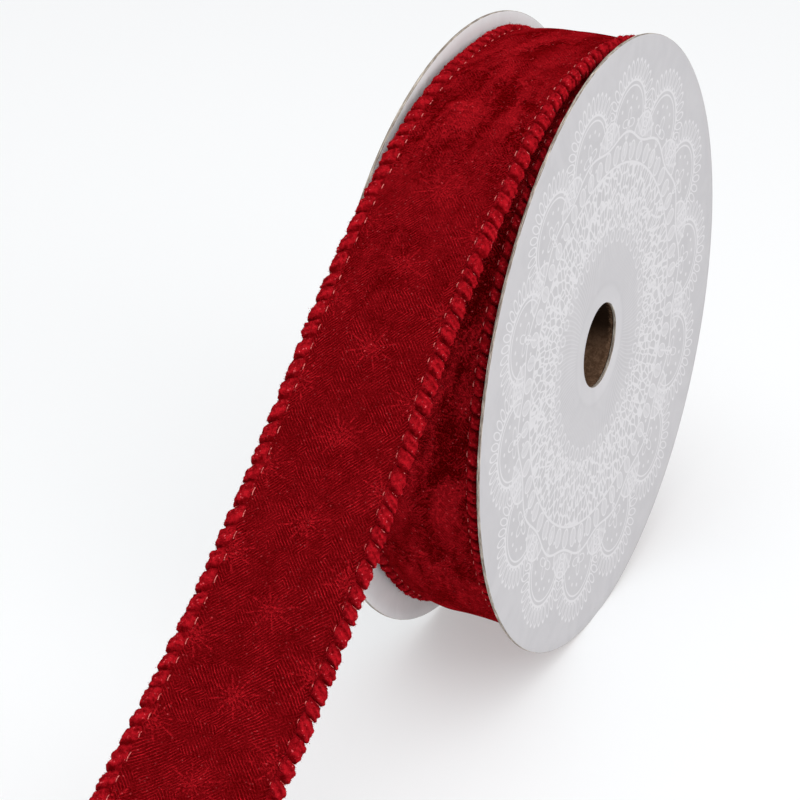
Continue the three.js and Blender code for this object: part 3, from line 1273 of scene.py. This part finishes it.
@dataclass
class Spool:
    """Two round card flanges on a cardboard tube, sizes in mm."""

    effects: SharedEffects
    rim: float = 87.0
    bore: float = 12.0
    rings: tuple[float, ...] = (20.0, 30.0, 40.0, 50.0, 60.0, 70.0, 79.0, 84.0)
    steps: int = 240
    card: float = 0.8
    card_softness: float = 0.09
    gap: float = 0.3
    hub: float = 30.0
    flare: float = 1.5
    warp: float = 1.3
    warp_angle: float = 30.0
    core_sides: int = 120
    core_wall: float = 1.5
    core_softness: float = 0.2

    def axis(self) -> Vector:
        """The middle of the spool's axis, in metres."""
        low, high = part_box("core")
        return (low + high) / 2

    def flange(self, side: Side, name: str, warp: float, printed: bool) -> bpy.types.Object:
        """Cuts one flange from card, bends it and finishes it.

        Args:
            side: The side of the spool.
            name: The piece's name.
            warp: How far its rim waves in and out.
            printed: Whether its outer face has the lace print.

        Returns:
            The flange.
        """
        axis = self.axis()
        low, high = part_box("core")
        face = (high.x - low.x) / 2 + self.gap * MM
        middle = Vector((axis.x + side.value * (face + self.card * MM / 2), axis.y, axis.z))
        piece = self.ring(middle)
        points = points_of(piece)
        points[:, 0] += side.value * self.bend(points, axis, warp) * MM
        move_points(piece, points)
        edit_whole(piece, lambda: bpy.ops.mesh.bisect(
            plane_co=(0, 0, 0), plane_no=(0, 0, 1), clear_inner=True))
        give_wall(piece, self.card, 0, self.card_softness, angle=50)
        edit_whole(piece, lambda: bpy.ops.mesh.normals_make_consistent(inside=False))
        finish = CardFinish(f"{name}_card", axis, self.rim, self.bore, printed)
        material = finish.build(self.effects)
        node = f"flange_{side.label}"
        return finish_piece(piece, name, (node,), material, crease=30)

    def ring(self, middle: Vector) -> bpy.types.Object:
        """Cuts a flat ring of card: the bore's circle, drawn out to the rim in steps.

        Args:
            middle: Its middle, in metres.

        Returns:
            The ring, without thickness.
        """
        only()
        bpy.ops.mesh.primitive_circle_add(
            vertices=self.steps, radius=self.bore * MM, fill_type="NOTHING",
            location=middle, rotation=(0, math.pi / 2, 0))
        piece = bpy.context.object
        bpy.ops.object.transform_apply(location=True, rotation=True, scale=True)
        radii = (self.bore, *self.rings, self.rim)

        def draw_out() -> None:
            """Draws the edge out to one radius after the other."""
            for inner, outer in zip(radii, radii[1:]):
                bpy.ops.mesh.extrude_edges_move()
                ratio = outer / inner
                bpy.ops.transform.resize(value=(1, ratio, ratio), center_override=middle)

        edit_whole(piece, draw_out)
        return piece

    def bend(self, points: np.ndarray, axis: Vector, warp: float) -> np.ndarray:
        """Bends the card outwards from the hub to the rim.

        Args:
            points: Its points in metres, a row each.
            axis: The middle of the spool's axis.
            warp: How far its rim waves in and out.

        Returns:
            How far each point stands out from the hub's plane, in mm.
        """
        across, up = points[:, 1] - axis.y, points[:, 2] - axis.z
        reach = np.hypot(across, up) / MM
        angle = np.arctan2(up, -across)
        wave = self.flare + warp * np.cos(2 * (angle - math.radians(self.warp_angle)))
        return wave * eased((reach - self.hub) / (self.rim - self.hub))

    def core(self) -> bpy.types.Object:
        """Winds the cardboard tube.

        Returns:
            The tube.
        """
        low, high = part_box("core")
        axis = self.axis()
        only()
        bpy.ops.mesh.primitive_cylinder_add(
            vertices=self.core_sides, radius=(high.y - low.y) / 2, depth=high.x - low.x,
            end_fill_type="NOTHING", location=axis, rotation=(0, math.pi / 2, 0))
        piece = bpy.context.object
        bpy.ops.object.transform_apply(location=True, rotation=True, scale=True)
        give_wall(piece, self.core_wall, -1, self.core_softness, angle=30)
        material = BoardFinish(axis).build(self.effects)
        return finish_piece(piece, "core_tube", ("core",), material)

    def build(self) -> None:
        """Makes the spool's three pieces."""
        self.flange(Side.RIGHT, "printed_flange", 0.0, True)
        self.flange(Side.LEFT, "plain_flange", self.warp, False)
        self.core()


# The ribbon's route


class Lie(NamedTuple):
    """How the ribbon lies at some distances along it, a row each, in mm."""

    middle: np.ndarray
    ahead: np.ndarray
    normal: np.ndarray
    tilt: np.ndarray
    crown: np.ndarray
    half: np.ndarray


def smooth_rows(rows: np.ndarray, per_span: int) -> np.ndarray:
    """Draws a smooth curve through the rows of a table.

    Args:
        rows: The table.
        per_span: How many steps go from one row to the next.

    Returns:
        The longer table.
    """
    before = 2 * rows[:1] - rows[1:2]
    after = 2 * rows[-1:] - rows[-2:-1]
    knots = np.vstack([before, rows, after])
    t = np.linspace(0, 1, per_span, endpoint=False)[:, None]
    spans = []
    for p0, p1, p2, p3 in zip(knots, knots[1:], knots[2:], knots[3:]):
        m1, m2 = (p2 - p0) / 2, (p3 - p1) / 2
        spans.append(
            (2 * t**3 - 3 * t**2 + 1) * p1 + (t**3 - 2 * t**2 + t) * m1
            + (3 * t**2 - 2 * t**3) * p2 + (t**3 - t**2) * m2
        )
    return np.vstack([*spans, rows[-1:]])


def turn_radii(angle: float | np.ndarray) -> tuple[np.ndarray, np.ndarray, np.ndarray]:
    """The outer turn's radii at some angles: its left edge, its crown and its right edge."""
    knots = np.array(OUTER_TURN, float)
    return tuple(np.interp(angle, knots[:, 0], knots[:, i]) for i in (1, 2, 3))


@dataclass
class RibbonRoute:
    """The outer turn and the loose end as one run, from its hidden start to its cut end, in mm."""

    axis: Vector
    turn_step: float = 12.0
    turn_half: float = 19.0
    edging_width: float = 4.3
    edging_height: float = 3.6
    velvet_thickness: float = 1.4
    shoulder: float = 13.0
    samples: int = 60
    table: np.ndarray = field(init=False)
    run: np.ndarray = field(init=False)

    def __post_init__(self) -> None:
        """Samples the whole run closely."""
        rows = np.array([*self.turn_stations(), *LOOSE_END], float)
        self.table = smooth_rows(rows, self.samples)
        steps = np.linalg.norm(np.diff(self.table[:, :3], axis=0), axis=1)
        self.run = np.concatenate([[0.0], np.cumsum(steps)])

    @property
    def length(self) -> float:
        """The run's whole length."""
        return float(self.run[-1])

    def turn_stations(self) -> list[Station]:
        """Sets stations round the outer turn.

        Returns:
            The stations, from its hidden start to where the loose end begins.
        """
        first, last = OUTER_TURN[-1].angle, OUTER_TURN[0].angle
        stations = []
        for angle in np.arange(first, last + self.turn_step / 2, -self.turn_step):
            left, crown, right = turn_radii(angle)
            radius = (left + right) / 2 - self.edging_height / 2
            rise = crown - self.velvet_thickness / 2 - radius
            front, height = math.cos(math.radians(angle)), math.sin(math.radians(angle))
            stations.append(Station(
                0.0, radius * front, radius * height, right - left, rise, self.turn_half))
        return stations

    def lie(self, run: np.ndarray) -> Lie:
        """Finds how the ribbon lies at some distances.

        Args:
            run: Distances along it, in mm.

        Returns:
            Its middle, direction, outward normal and form there.
        """
        along, front, height, tilt, crown, half = (
            np.interp(run, self.run, self.table[:, i]) for i in range(6))
        slopes = np.gradient(self.table[:, :3], self.run, axis=0)
        ahead = np.stack([np.interp(run, self.run, slopes[:, i]) for i in range(3)], axis=-1)
        ahead = ahead * np.array([1.0, -1.0, 1.0])
        ahead /= np.linalg.norm(ahead, axis=-1, keepdims=True)
        normal = np.cross(ahead, np.array([1.0, 0.0, 0.0]))
        middle = np.stack([along, -front, height], axis=-1) + np.array(self.axis) / MM
        return Lie(middle, ahead, normal, tilt, crown, half)

    def dome(self, edge: np.ndarray, crown: np.ndarray, inward: np.ndarray) -> np.ndarray:
        """The velvet's height between its edge and its crown, at distances in from the edge."""
        share = np.clip(inward / self.shoulder, 0, 1)
        return edge + (crown - edge) * np.sin(share * math.pi / 2)


def place_on(lie: Lie, across: np.ndarray, rise: np.ndarray, ahead: np.ndarray) -> np.ndarray:
    """Finds points beside and over the ribbon's middle, none under the surface it lies on.

    Args:
        lie: How the ribbon lies there.
        across: Distances across it.
        rise: Distances over it.
        ahead: Distances along it.

    Returns:
        The points in mm, a row each.
    """
    points = lie.middle + lie.normal * rise[:, None] + lie.ahead * ahead[:, None]
    points[:, 0] += across
    points[:, 2] = np.maximum(points[:, 2], LOWEST_PATH)
    return points


# The edgings


@dataclass
class Edging:
    """One whipped edging: a soft strand that its thread draws in at each seam, sizes in mm."""

    side: Side
    route: RibbonRoute
    effects: SharedEffects
    wound_pitch: float = 4.6
    loose_pitch: float = 6.0
    right_pitch_share: float = 0.86
    pitch_spread: float = 0.13
    pitch_limits: tuple[float, float] = (0.72, 1.34)
    pinch_out: float = 0.74
    pinch_up: float = 0.38
    out_spread: float = 0.05
    up_spread: float = 0.09
    slant: float = 0.55
    slant_spread: float = 0.22
    lump_lean: float = 0.86
    lump_fullness: float = 0.55
    ply_depth: float = 0.10
    lump_steps: int = 16
    strand_sides: int = 24
    squeezed_width: float = 3.0
    squeezed_start: float = 17.3
    squeezed_until: float = 440.0
    squeezed_from: float = 380.0
    tufts_per_metre: float = 800.0
    tuft_height: float = 0.42
    fine_tufts_per_metre: float = 1900.0
    fine_tuft_height: float = 0.2
    fluff_room: float = 0.3
    fibres: int = 60000
    fibre_scatter: float = 0.14
    fibre_lean: float = 0.75
    fibre_evenness: float = 4.0
    fibre_length: float = 0.26
    fibre_breadth: float = 0.05
    stitch_thread: float = 0.13
    stitch_inset: float = 0.15
    stitch_path: tuple[tuple[float, float], ...] = (
        (0.1, -0.5), (0.25, 0.0), (0.35, 0.30), (0.45, 0.42),
        (0.55, 0.42), (0.65, 0.30), (0.75, 0.0), (0.9, -0.5),
    )
    loop_thread: float = 0.11
    loop_reach: float = 1.5
    loop_points: int = 9
    loop_slack: float = 0.25
    loop_out: float = 0.8
    loop_up: float = 1.1
    loop_lag: float = 0.05
    rounding: float = 1e-6
    seams: np.ndarray = field(init=False)
    fullness: np.ndarray = field(init=False)
    fatness: np.ndarray = field(init=False)
    lean: np.ndarray = field(init=False)

    def __post_init__(self) -> None:
        """Spaces the seams and gives each lump its own fullness, fatness and lean."""
        self.seams = self.spaced_seams()
        dice = np.random.default_rng(SEED * 3 + self.side.value)
        self.fullness = dice.normal(1.0, self.out_spread, len(self.seams))
        self.fatness = dice.normal(1.0, self.up_spread, len(self.seams))
        self.lean = dice.normal(1.0, self.slant_spread, len(self.seams))

    @property
    def lumps(self) -> int:
        """How many lumps there are."""
        return len(self.seams) - 1

    def spaced_seams(self) -> np.ndarray:
        """Spaces out the places at which the thread draws the strand in.

        Returns:
            Their distances along the ribbon.
        """
        dice = np.random.default_rng(SEED + self.side.value)
        places = [0.0]
        while places[-1] < self.route.length:
            share = places[-1] / self.route.length
            pitch = self.wound_pitch + (self.loose_pitch - self.wound_pitch) * share
            pitch *= self.right_pitch_share if self.side is Side.RIGHT else 1.0
            spread = float(np.clip(dice.normal(1.0, self.pitch_spread), *self.pitch_limits))
            places.append(places[-1] + pitch * spread)
        return np.array(places) * self.route.length / places[-1]

    def room(self, lie: Lie, run: np.ndarray) -> tuple[np.ndarray, np.ndarray]:
        """Finds the edging's room. Under the loose end the right one is pressed to its flange.

        Args:
            lie: How the ribbon lies at some distances.
            run: These distances.

        Returns:
            The width that it has there, and how far out it starts.
        """
        full = self.route.edging_width
        start = lie.half - full
        if self.side is Side.LEFT:
            return np.full_like(run, full), start
        share = eased((self.squeezed_until - run) / (self.squeezed_until - self.squeezed_from))
        width = full + (self.squeezed_width - full) * share
        return width, start + (self.squeezed_start - start) * share

    def shape(self, around: np.ndarray, forward: np.ndarray) -> np.ndarray:
        """Shapes the strand's skin.

        Args:
            around: Shares of the way round it.
            forward: Shares of the way along it.

        Returns:
            Points in mm, a row each.
        """
        phase = forward * self.lumps
        lump = np.minimum(np.floor(phase + self.rounding).astype(int), self.lumps)
        part = np.clip(phase - lump, 0, 1)
        run = np.interp(phase, np.arange(self.lumps + 1), self.seams)
        lie = self.route.lie(run)
        swell = np.clip(np.sin(math.pi * part**self.lump_lean), 0, 1) ** self.lump_fullness
        turn = around * math.tau
        ply = np.abs(np.sin(math.pi * (around + EdgingFinish.plies * phase)))
        ply = 1 - self.ply_depth / 2 + self.ply_depth * ply
        out_share = (self.pinch_out + (1 - self.pinch_out) * swell * self.fullness[lump]) * ply
        up_share = (self.pinch_up + (1 - self.pinch_up) * swell * self.fatness[lump]) * ply
        width, start = self.room(lie, run)
        outward = (width - self.fluff_room) / 2 * out_share * (1 + np.cos(turn))
        up = self.route.edging_height / 2 * up_share * np.sin(turn)
        across = self.side.value * (start + outward)
        rise = self.side.value * lie.tilt / 2 + up
        lag = self.slant * (1 + (self.lean[lump] - 1) * swell)
        return place_on(lie, across, rise, lag * outward)

    def cut(self, around: np.ndarray, forward: np.ndarray) -> np.ndarray:
        """Places on the strand laid flat, in metres, with its seams one pitch apart."""
        length = self.lumps * EdgingFinish.seam_pitch
        return np.stack([around * EdgingFinish.strand_round, forward * length], axis=-1) * MM

    def strand(self) -> None:
        """Rolls the lumpy strand and lets its fluff stand out."""
        rows = self.lumps * self.lump_steps
        piece = Strip(self.strand_sides, rows, self.shape, self.cut, rolled=True).build()
        self.roughen(piece)
        material = built_once(EdgingFinish(), self.effects)
        self.fluff(piece, material)
        name, node = f"edging_{self.side.label}", f"tail_trim_{self.side.label}"
        finish_piece(piece, name, (node,), material, crease=80)

    def fluff(self, strand: bpy.types.Object, material: bpy.types.Material) -> None:
        """Lets short fibres stand out from the strand, each a thin blade.

        Args:
            strand: The strand.
            material: The yarn's material.
        """
        dice = np.random.default_rng(SEED * 5 + self.side.value)
        points, normals = points_of(strand), normals_of(strand)
        rows = (self.fibres, 3)
        chosen = dice.integers(0, len(points), self.fibres)
        roots = points[chosen] + dice.normal(0, self.fibre_scatter * MM, rows)
        aim = normals[chosen] + dice.normal(0, self.fibre_lean, rows)
        aim /= np.linalg.norm(aim, axis=1, keepdims=True)
        side_way = np.cross(aim, dice.normal(0, 1, rows))
        side_way /= np.linalg.norm(side_way, axis=1, keepdims=True)
        step = self.fibre_length / self.fibre_evenness
        length = dice.gamma(self.fibre_evenness, step, self.fibres)[:, None] * MM
        breadth = self.fibre_breadth * MM
        blades = np.stack([
            roots - side_way * breadth, roots + side_way * breadth, roots + aim * length], axis=1)
        blades = blades.reshape(-1, 3)
        blades[:, 2] = np.maximum(blades[:, 2], LOWEST_FIBRE * MM)
        mesh = bpy.data.meshes.new("fluff")
        mesh.from_pydata(blades, [], np.arange(self.fibres * 3).reshape(-1, 3))
        lump_middle = [EdgingFinish.strand_round / 4 * MM, EdgingFinish.seam_pitch / 4 * MM]
        layer = mesh.uv_layers.new(name="cut")
        layer.data.foreach_set("uv", np.tile(lump_middle, self.fibres * 3))
        piece = bpy.data.objects.new("fluff", mesh)
        bpy.context.scene.collection.objects.link(piece)
        finish_piece(piece, f"edging_fluff_{self.side.label}", (), material)

    def roughen(self, piece: bpy.types.Object) -> None:
        """Raises small tufts all over a strand, along its own normals.

        Args:
            piece: The strand.
        """
        points = points_of(piece)
        tufts = np.array([noise.noise(Vector(p) * self.tufts_per_metre) for p in points])
        fine = np.array([noise.noise(Vector(p) * self.fine_tufts_per_metre) for p in points])
        lift = (tufts * self.tuft_height + fine * self.fine_tuft_height) * MM
        moved = points + normals_of(piece) * lift[:, None]
        moved[:, 2] = np.maximum(moved[:, 2], LOWEST_TUFT * MM)
        move_points(piece, moved)

    def beside(self, table: np.ndarray) -> np.ndarray:
        """Finds points on the edging.

        Args:
            table: Rows of a lump's number, a way out and a height in mm.

        Returns:
            The points in metres, a row each.
        """
        run = np.interp(table[:, 0], np.arange(len(self.seams)), self.seams)
        lie = self.route.lie(run)
        width, start = self.room(lie, run)
        across = self.side.value * (start + table[:, 1] * width / self.route.edging_width)
        rise = self.side.value * lie.tilt / 2 + table[:, 2]
        return place_on(lie, across, rise, self.slant * np.maximum(table[:, 1], 0)) * MM

    def stitches(self) -> None:
        """Runs the pale thread along the inner line, over each lump's root and under each seam."""
        height = self.route.edging_height / 2
        table = np.array([
            (lump + part, -self.stitch_inset, height * rise)
            for lump in range(self.lumps) for part, rise in self.stitch_path])
        self.sew("stitches", [self.beside(table)], self.stitch_thread)

    def loops(self) -> None:
        """Leads the thread round the edging's outer side at each seam."""
        width, height = self.route.edging_width / 2, self.route.edging_height / 2
        turns = np.linspace(-self.loop_reach, self.loop_reach, self.loop_points)
        out = width * (self.pinch_out * self.loop_out * (1 + np.cos(turns)) + self.loop_slack)
        up = height * self.pinch_up * self.loop_up * np.sin(turns)
        self.sew("loops", [
            self.beside(np.column_stack([lump + self.loop_lag * np.sin(turns), out, up]))
            for lump in range(1, self.lumps)], self.loop_thread)

    def sew(self, name: str, runs: list[np.ndarray], radius: float) -> None:
        """Makes one piece of round thread.

        Args:
            name: The piece's name, without its side.
            runs: The points in metres that each thread goes through.
            radius: Half the thread's width, in mm.
        """
        curve = bpy.data.curves.new("strand", "CURVE")
        curve.dimensions = "3D"
        curve.bevel_depth = radius * MM
        curve.bevel_resolution = 1
        curve.use_fill_caps = True
        for points in runs:
            spline = curve.splines.new("POLY")
            spline.points.add(len(points) - 1)
            flat = np.column_stack([points, np.ones(len(points))])
            spline.points.foreach_set("co", flat.ravel())
        piece = bpy.data.objects.new("strand", curve)
        bpy.context.scene.collection.objects.link(piece)
        only(piece)
        bpy.ops.object.convert(target="MESH")
        material = built_once(ThreadFinish(), self.effects)
        name = f"{name}_{self.side.label}"
        finish_piece(bpy.context.object, name, (), material, crease=80)

    def build(self) -> None:
        """Makes the edging's pieces."""
        self.strand()
        self.stitches()
        self.loops()


# The velvet


@dataclass
class Velvet:
    """The strip of velvet round the outer turn and down the loose end, sizes in mm."""

    route: RibbonRoute
    effects: SharedEffects
    right_edging: Edging
    flat_half: float = 19.6
    tuck: float = 0.7
    cloth: float = 1.2
    columns: int = 40
    row_length: float = 1.25
    unevenness: float = 0.12
    wave_along: float = 9.3
    wave_across: float = 7.1
    cross_wave_along: float = 23.0
    cross_wave_across: float = 5.2
    fold_fade: float = 4.0
    creases: tuple[Crease, ...] = CREASES

    @property
    def width(self) -> float:
        """The width of the flat velvet that shows."""
        return 2 * (self.flat_half - self.route.edging_width)

    def folds(self, run: np.ndarray, across: np.ndarray) -> np.ndarray:
        """Works out what the creases and the cloth's slight unevenness add.

        Args:
            run: Distances along the ribbon.
            across: Distances across it.

        Returns:
            The height there.
        """
        wave = np.sin(run / self.wave_along + across / self.wave_across)
        cross_wave = np.sin(across / self.cross_wave_across - run / self.cross_wave_along)
        total = self.unevenness * wave * cross_wave
        for crease in self.creases:
            along = run - crease.run
            side = across - crease.across
            turn = math.radians(crease.turn)
            length = side * math.cos(turn) + along * math.sin(turn)
            width = along * math.cos(turn) - side * math.sin(turn)
            total += crease.rise * np.exp(
                -((2 * length / crease.length) ** 2) - (2 * width / crease.width) ** 2)
        return total

    def shape(self, sideways: np.ndarray, forward: np.ndarray) -> np.ndarray:
        """Shapes the laid velvet, with its edges tucked under the edgings.

        Args:
            sideways: Shares of the way across it.
            forward: Shares of the way along it.

        Returns:
            Points in mm, a row each.
        """
        run = forward * self.route.length
        lie = self.route.lie(run)
        half = lie.half - self.route.edging_width
        _, right_half = self.right_edging.room(lie, run)
        across = (2 * sideways - 1) * (np.where(sideways > 0.5, right_half, half) + self.tuck)
        inward = half - np.abs(across)
        edge = np.sign(across) * lie.tilt / 2
        fade = np.clip(inward / self.fold_fade, 0, 1)
        rise = self.route.dome(edge, lie.crown, inward) + fade * self.folds(run, across)
        return place_on(lie, across, rise, np.zeros_like(run))

    def cut(self, sideways: np.ndarray, forward: np.ndarray) -> np.ndarray:
        """Places on the flat cloth, in metres."""
        return np.stack([
            (sideways - 0.5) * self.width * MM, forward * self.route.length * MM], axis=-1)

    def build(self) -> None:
        """Lays the velvet and gives it its thickness."""
        length = self.route.length
        rows = round(length / self.row_length)
        piece = Strip(self.columns, rows, self.shape, self.cut).build()
        wall = piece.modifiers.new("cloth", "SOLIDIFY")
        wall.thickness = self.cloth * MM
        wall.offset = 0
        apply_all(piece)
        material = VelvetFinish().build(self.effects)
        finish_piece(piece, "ribbon_velvet", ("tail",), material, crease=60)
        self.width * MM


# The inner turns


@dataclass
class WoundTurns:
    """The turns under the outer one, whose stacked edgings show at the spool's sides, in mm."""

    route: RibbonRoute
    effects: SharedEffects
    inner: float = 14.2
    stacked_to: float = 78.0
    half: float = 17.9
    notch: float = 0.9
    turn_pitch: float = 3.3
    sink: float = 4.4
    under: float = 0.9
    flat_share: float = 0.79
    top_share: float = 0.8
    top_points: int = 25
    steps: int = 180
    flat_size: tuple[float, float] = (0.1, 0.5)
    along: np.ndarray = field(init=False)
    share: np.ndarray = field(init=False)

    def __post_init__(self) -> None:
        """Draws the section: distances along the axis and shares of the outer radius."""
        turns = int((self.stacked_to - self.inner) / self.turn_pitch)
        shares = np.linspace(0, 1, 2 * turns + 1)
        bulge = np.where(np.arange(2 * turns + 1) % 2 == 1, 0.0, -self.notch)
        up = np.column_stack([self.half + bulge, shares])
        top = np.linspace(self.top_share, -self.top_share, self.top_points) * self.half
        over = np.column_stack([top, np.ones(self.top_points)])
        down = up[::-1] * np.array([-1, 1])
        ring = np.vstack([up, over, down, up[:1]])
        self.along, self.share = ring[:, 0], ring[:, 1]

    def shape(self, around: np.ndarray, forward: np.ndarray) -> np.ndarray:
        """Shapes the turns' skin.

        Args:
            around: Shares of the way round the section.
            forward: Shares of the way round the spool.

        Returns:
            Points in mm, a row each.
        """
        index = np.round(around * (len(self.along) - 1)).astype(int)
        angle = OUTER_TURN[0].angle + forward * 360
        across = self.along[index]
        left, crown, right = turn_radii(angle)
        rim = np.where(across < 0, left, right)
        root = rim - self.route.edging_height / 2
        inward = self.route.turn_half - self.route.edging_width - np.abs(across)
        dome = self.route.dome(root, crown - self.route.velvet_thickness / 2, inward)
        on_side = np.abs(across) > self.flat_share * self.half
        outer = np.where(on_side, np.minimum(rim - self.sink, dome), dome - self.under)
        radius = self.inner + (outer - self.inner) * self.share[index]
        turn = np.radians(angle)
        place = np.stack([across, -radius * np.cos(turn), radius * np.sin(turn)], axis=-1)
        return place + np.array(self.route.axis) / MM

    def cut(self, around: np.ndarray, forward: np.ndarray) -> np.ndarray:
        """Places on the turns' skin laid flat, in metres."""
        return np.stack([around * self.flat_size[0], forward * self.flat_size[1]], axis=-1)

    def build(self) -> None:
        """Winds the turns."""
        piece = Strip(len(self.along) - 1, self.steps, self.shape, self.cut, rolled=True).build()
        material = built_once(EdgingFinish(), self.effects)
        finish_piece(piece, "wound_turns", ("ribbon_roll",), material, crease=50)


# The studio


class Lamp(NamedTuple):
    """A square soft light: its place from the aim in metres, its width in metres, its watts."""

    name: str
    place: tuple[float, float, float]
    width: float
    power: float


@dataclass
class Studio:
    """Pale floor, soft lights and the camera at the photograph's angle.

    The camera's distances count in spool radii.
    """

    spool_radius: float
    aim_along: float = 0.0275
    azimuth: float = 24.8521
    elevation: float = 27.4418
    distance: float = 10.0
    shift_right: float = 0.4483
    shift_up: float = 0.2155
    lens: float = 140.134
    sensor: float = 36.0
    floor_size: float = 12.0
    floor_depth: float = 0.0002
    floor_tone: Tone = tone(0.55, 0.56, 0.57)
    floor_glow: float = 0.39
    sky: float = 0.42
    white: Tone = tone(1, 1, 1)
    lamps: tuple[Lamp, ...] = (
        Lamp("key", (0.72, -0.55, 1.35), 1.9, 20.5),
        Lamp("overhead", (-0.45, -0.15, 1.45), 1.9, 9.5),
        Lamp("side", (1.50, -0.60, 0.45), 1.0, 6.0),
    )

    def camera(self, aim: Vector) -> None:
        """Places the camera.

        Args:
            aim: The place in metres that its distances count from.
        """
        turn, lift = math.radians(self.azimuth), math.radians(self.elevation)
        back = Vector((math.sin(turn) * math.cos(lift), -math.cos(turn) * math.cos(lift), math.sin(lift)))
        right = Vector((math.cos(turn), math.sin(turn), 0))
        up = back.cross(right)
        data = bpy.data.cameras.new("camera")
        data.lens = self.lens
        data.sensor_width = self.sensor
        camera = bpy.data.objects.new("camera", data)
        place = aim + self.spool_radius * (
            back * self.distance - right * self.shift_right - up * self.shift_up)
        turned = Matrix((right, up, back)).transposed().to_4x4()
        camera.matrix_world = Matrix.Translation(place) @ turned
        bpy.context.scene.collection.objects.link(camera)
        bpy.context.scene.camera = camera

    def light(self, lamp: Lamp, aim: Vector) -> None:
        """Adds a light.

        Args:
            lamp: What it is and where it stands.
            aim: What it faces.
        """
        data = bpy.data.lights.new(lamp.name, "AREA")
        data.size = lamp.width
        data.energy = lamp.power
        light = bpy.data.objects.new(lamp.name, data)
        light.location = aim + Vector(lamp.place)
        light.rotation_euler = (-Vector(lamp.place)).to_track_quat("-Z", "Y").to_euler()
        bpy.context.scene.collection.objects.link(light)

    def floor(self) -> None:
        """Lays the pale floor."""
        only()
        bpy.ops.mesh.primitive_plane_add(size=self.floor_size, location=(0, 0, -self.floor_depth))
        floor = bpy.context.object
        floor.name = "floor"
        material, bench, shader = new_material("floor")
        bench.dress(shader, {
            "Base Color": self.floor_tone,
            "Roughness": 0.95,
            "Specular IOR Level": 0.0,
            "Emission Color": self.white,
            "Emission Strength": self.floor_glow,
        })
        floor.data.materials.append(material)

    def build(self, axis: Vector) -> None:
        """Sets up everything that isn't the object.

        Args:
            axis: The middle of the spool's axis, in metres.
        """
        aim = axis + Vector((self.aim_along * self.spool_radius, 0, 0))
        scene = bpy.context.scene
        world = bpy.data.worlds.new("studio")
        world.use_nodes = True
        sky = world.node_tree.nodes["Background"]
        sky.inputs["Color"].default_value = self.white
        sky.inputs["Strength"].default_value = self.sky
        scene.world = world
        scene.view_settings.view_transform = "Standard"
        self.camera(aim)
        self.floor()
        for lamp in self.lamps:
            self.light(lamp, aim)


def main() -> None:
    """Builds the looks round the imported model."""
    logging.basicConfig(level=logging.INFO, format="%(message)s")
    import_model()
    effects = SharedEffects()
    spool = Spool(effects)
    axis = spool.axis()
    Studio(spool.rim * MM).build(axis)
    spool.build()
    route = RibbonRoute(axis)
    WoundTurns(route, effects).build()
    edgings = {side: Edging(side, route, effects) for side in Side}
    for edging in edgings.values():
        edging.build()
    Velvet(route, effects, edgings[Side.RIGHT]).build()


if __name__ == "__main__":
    main()
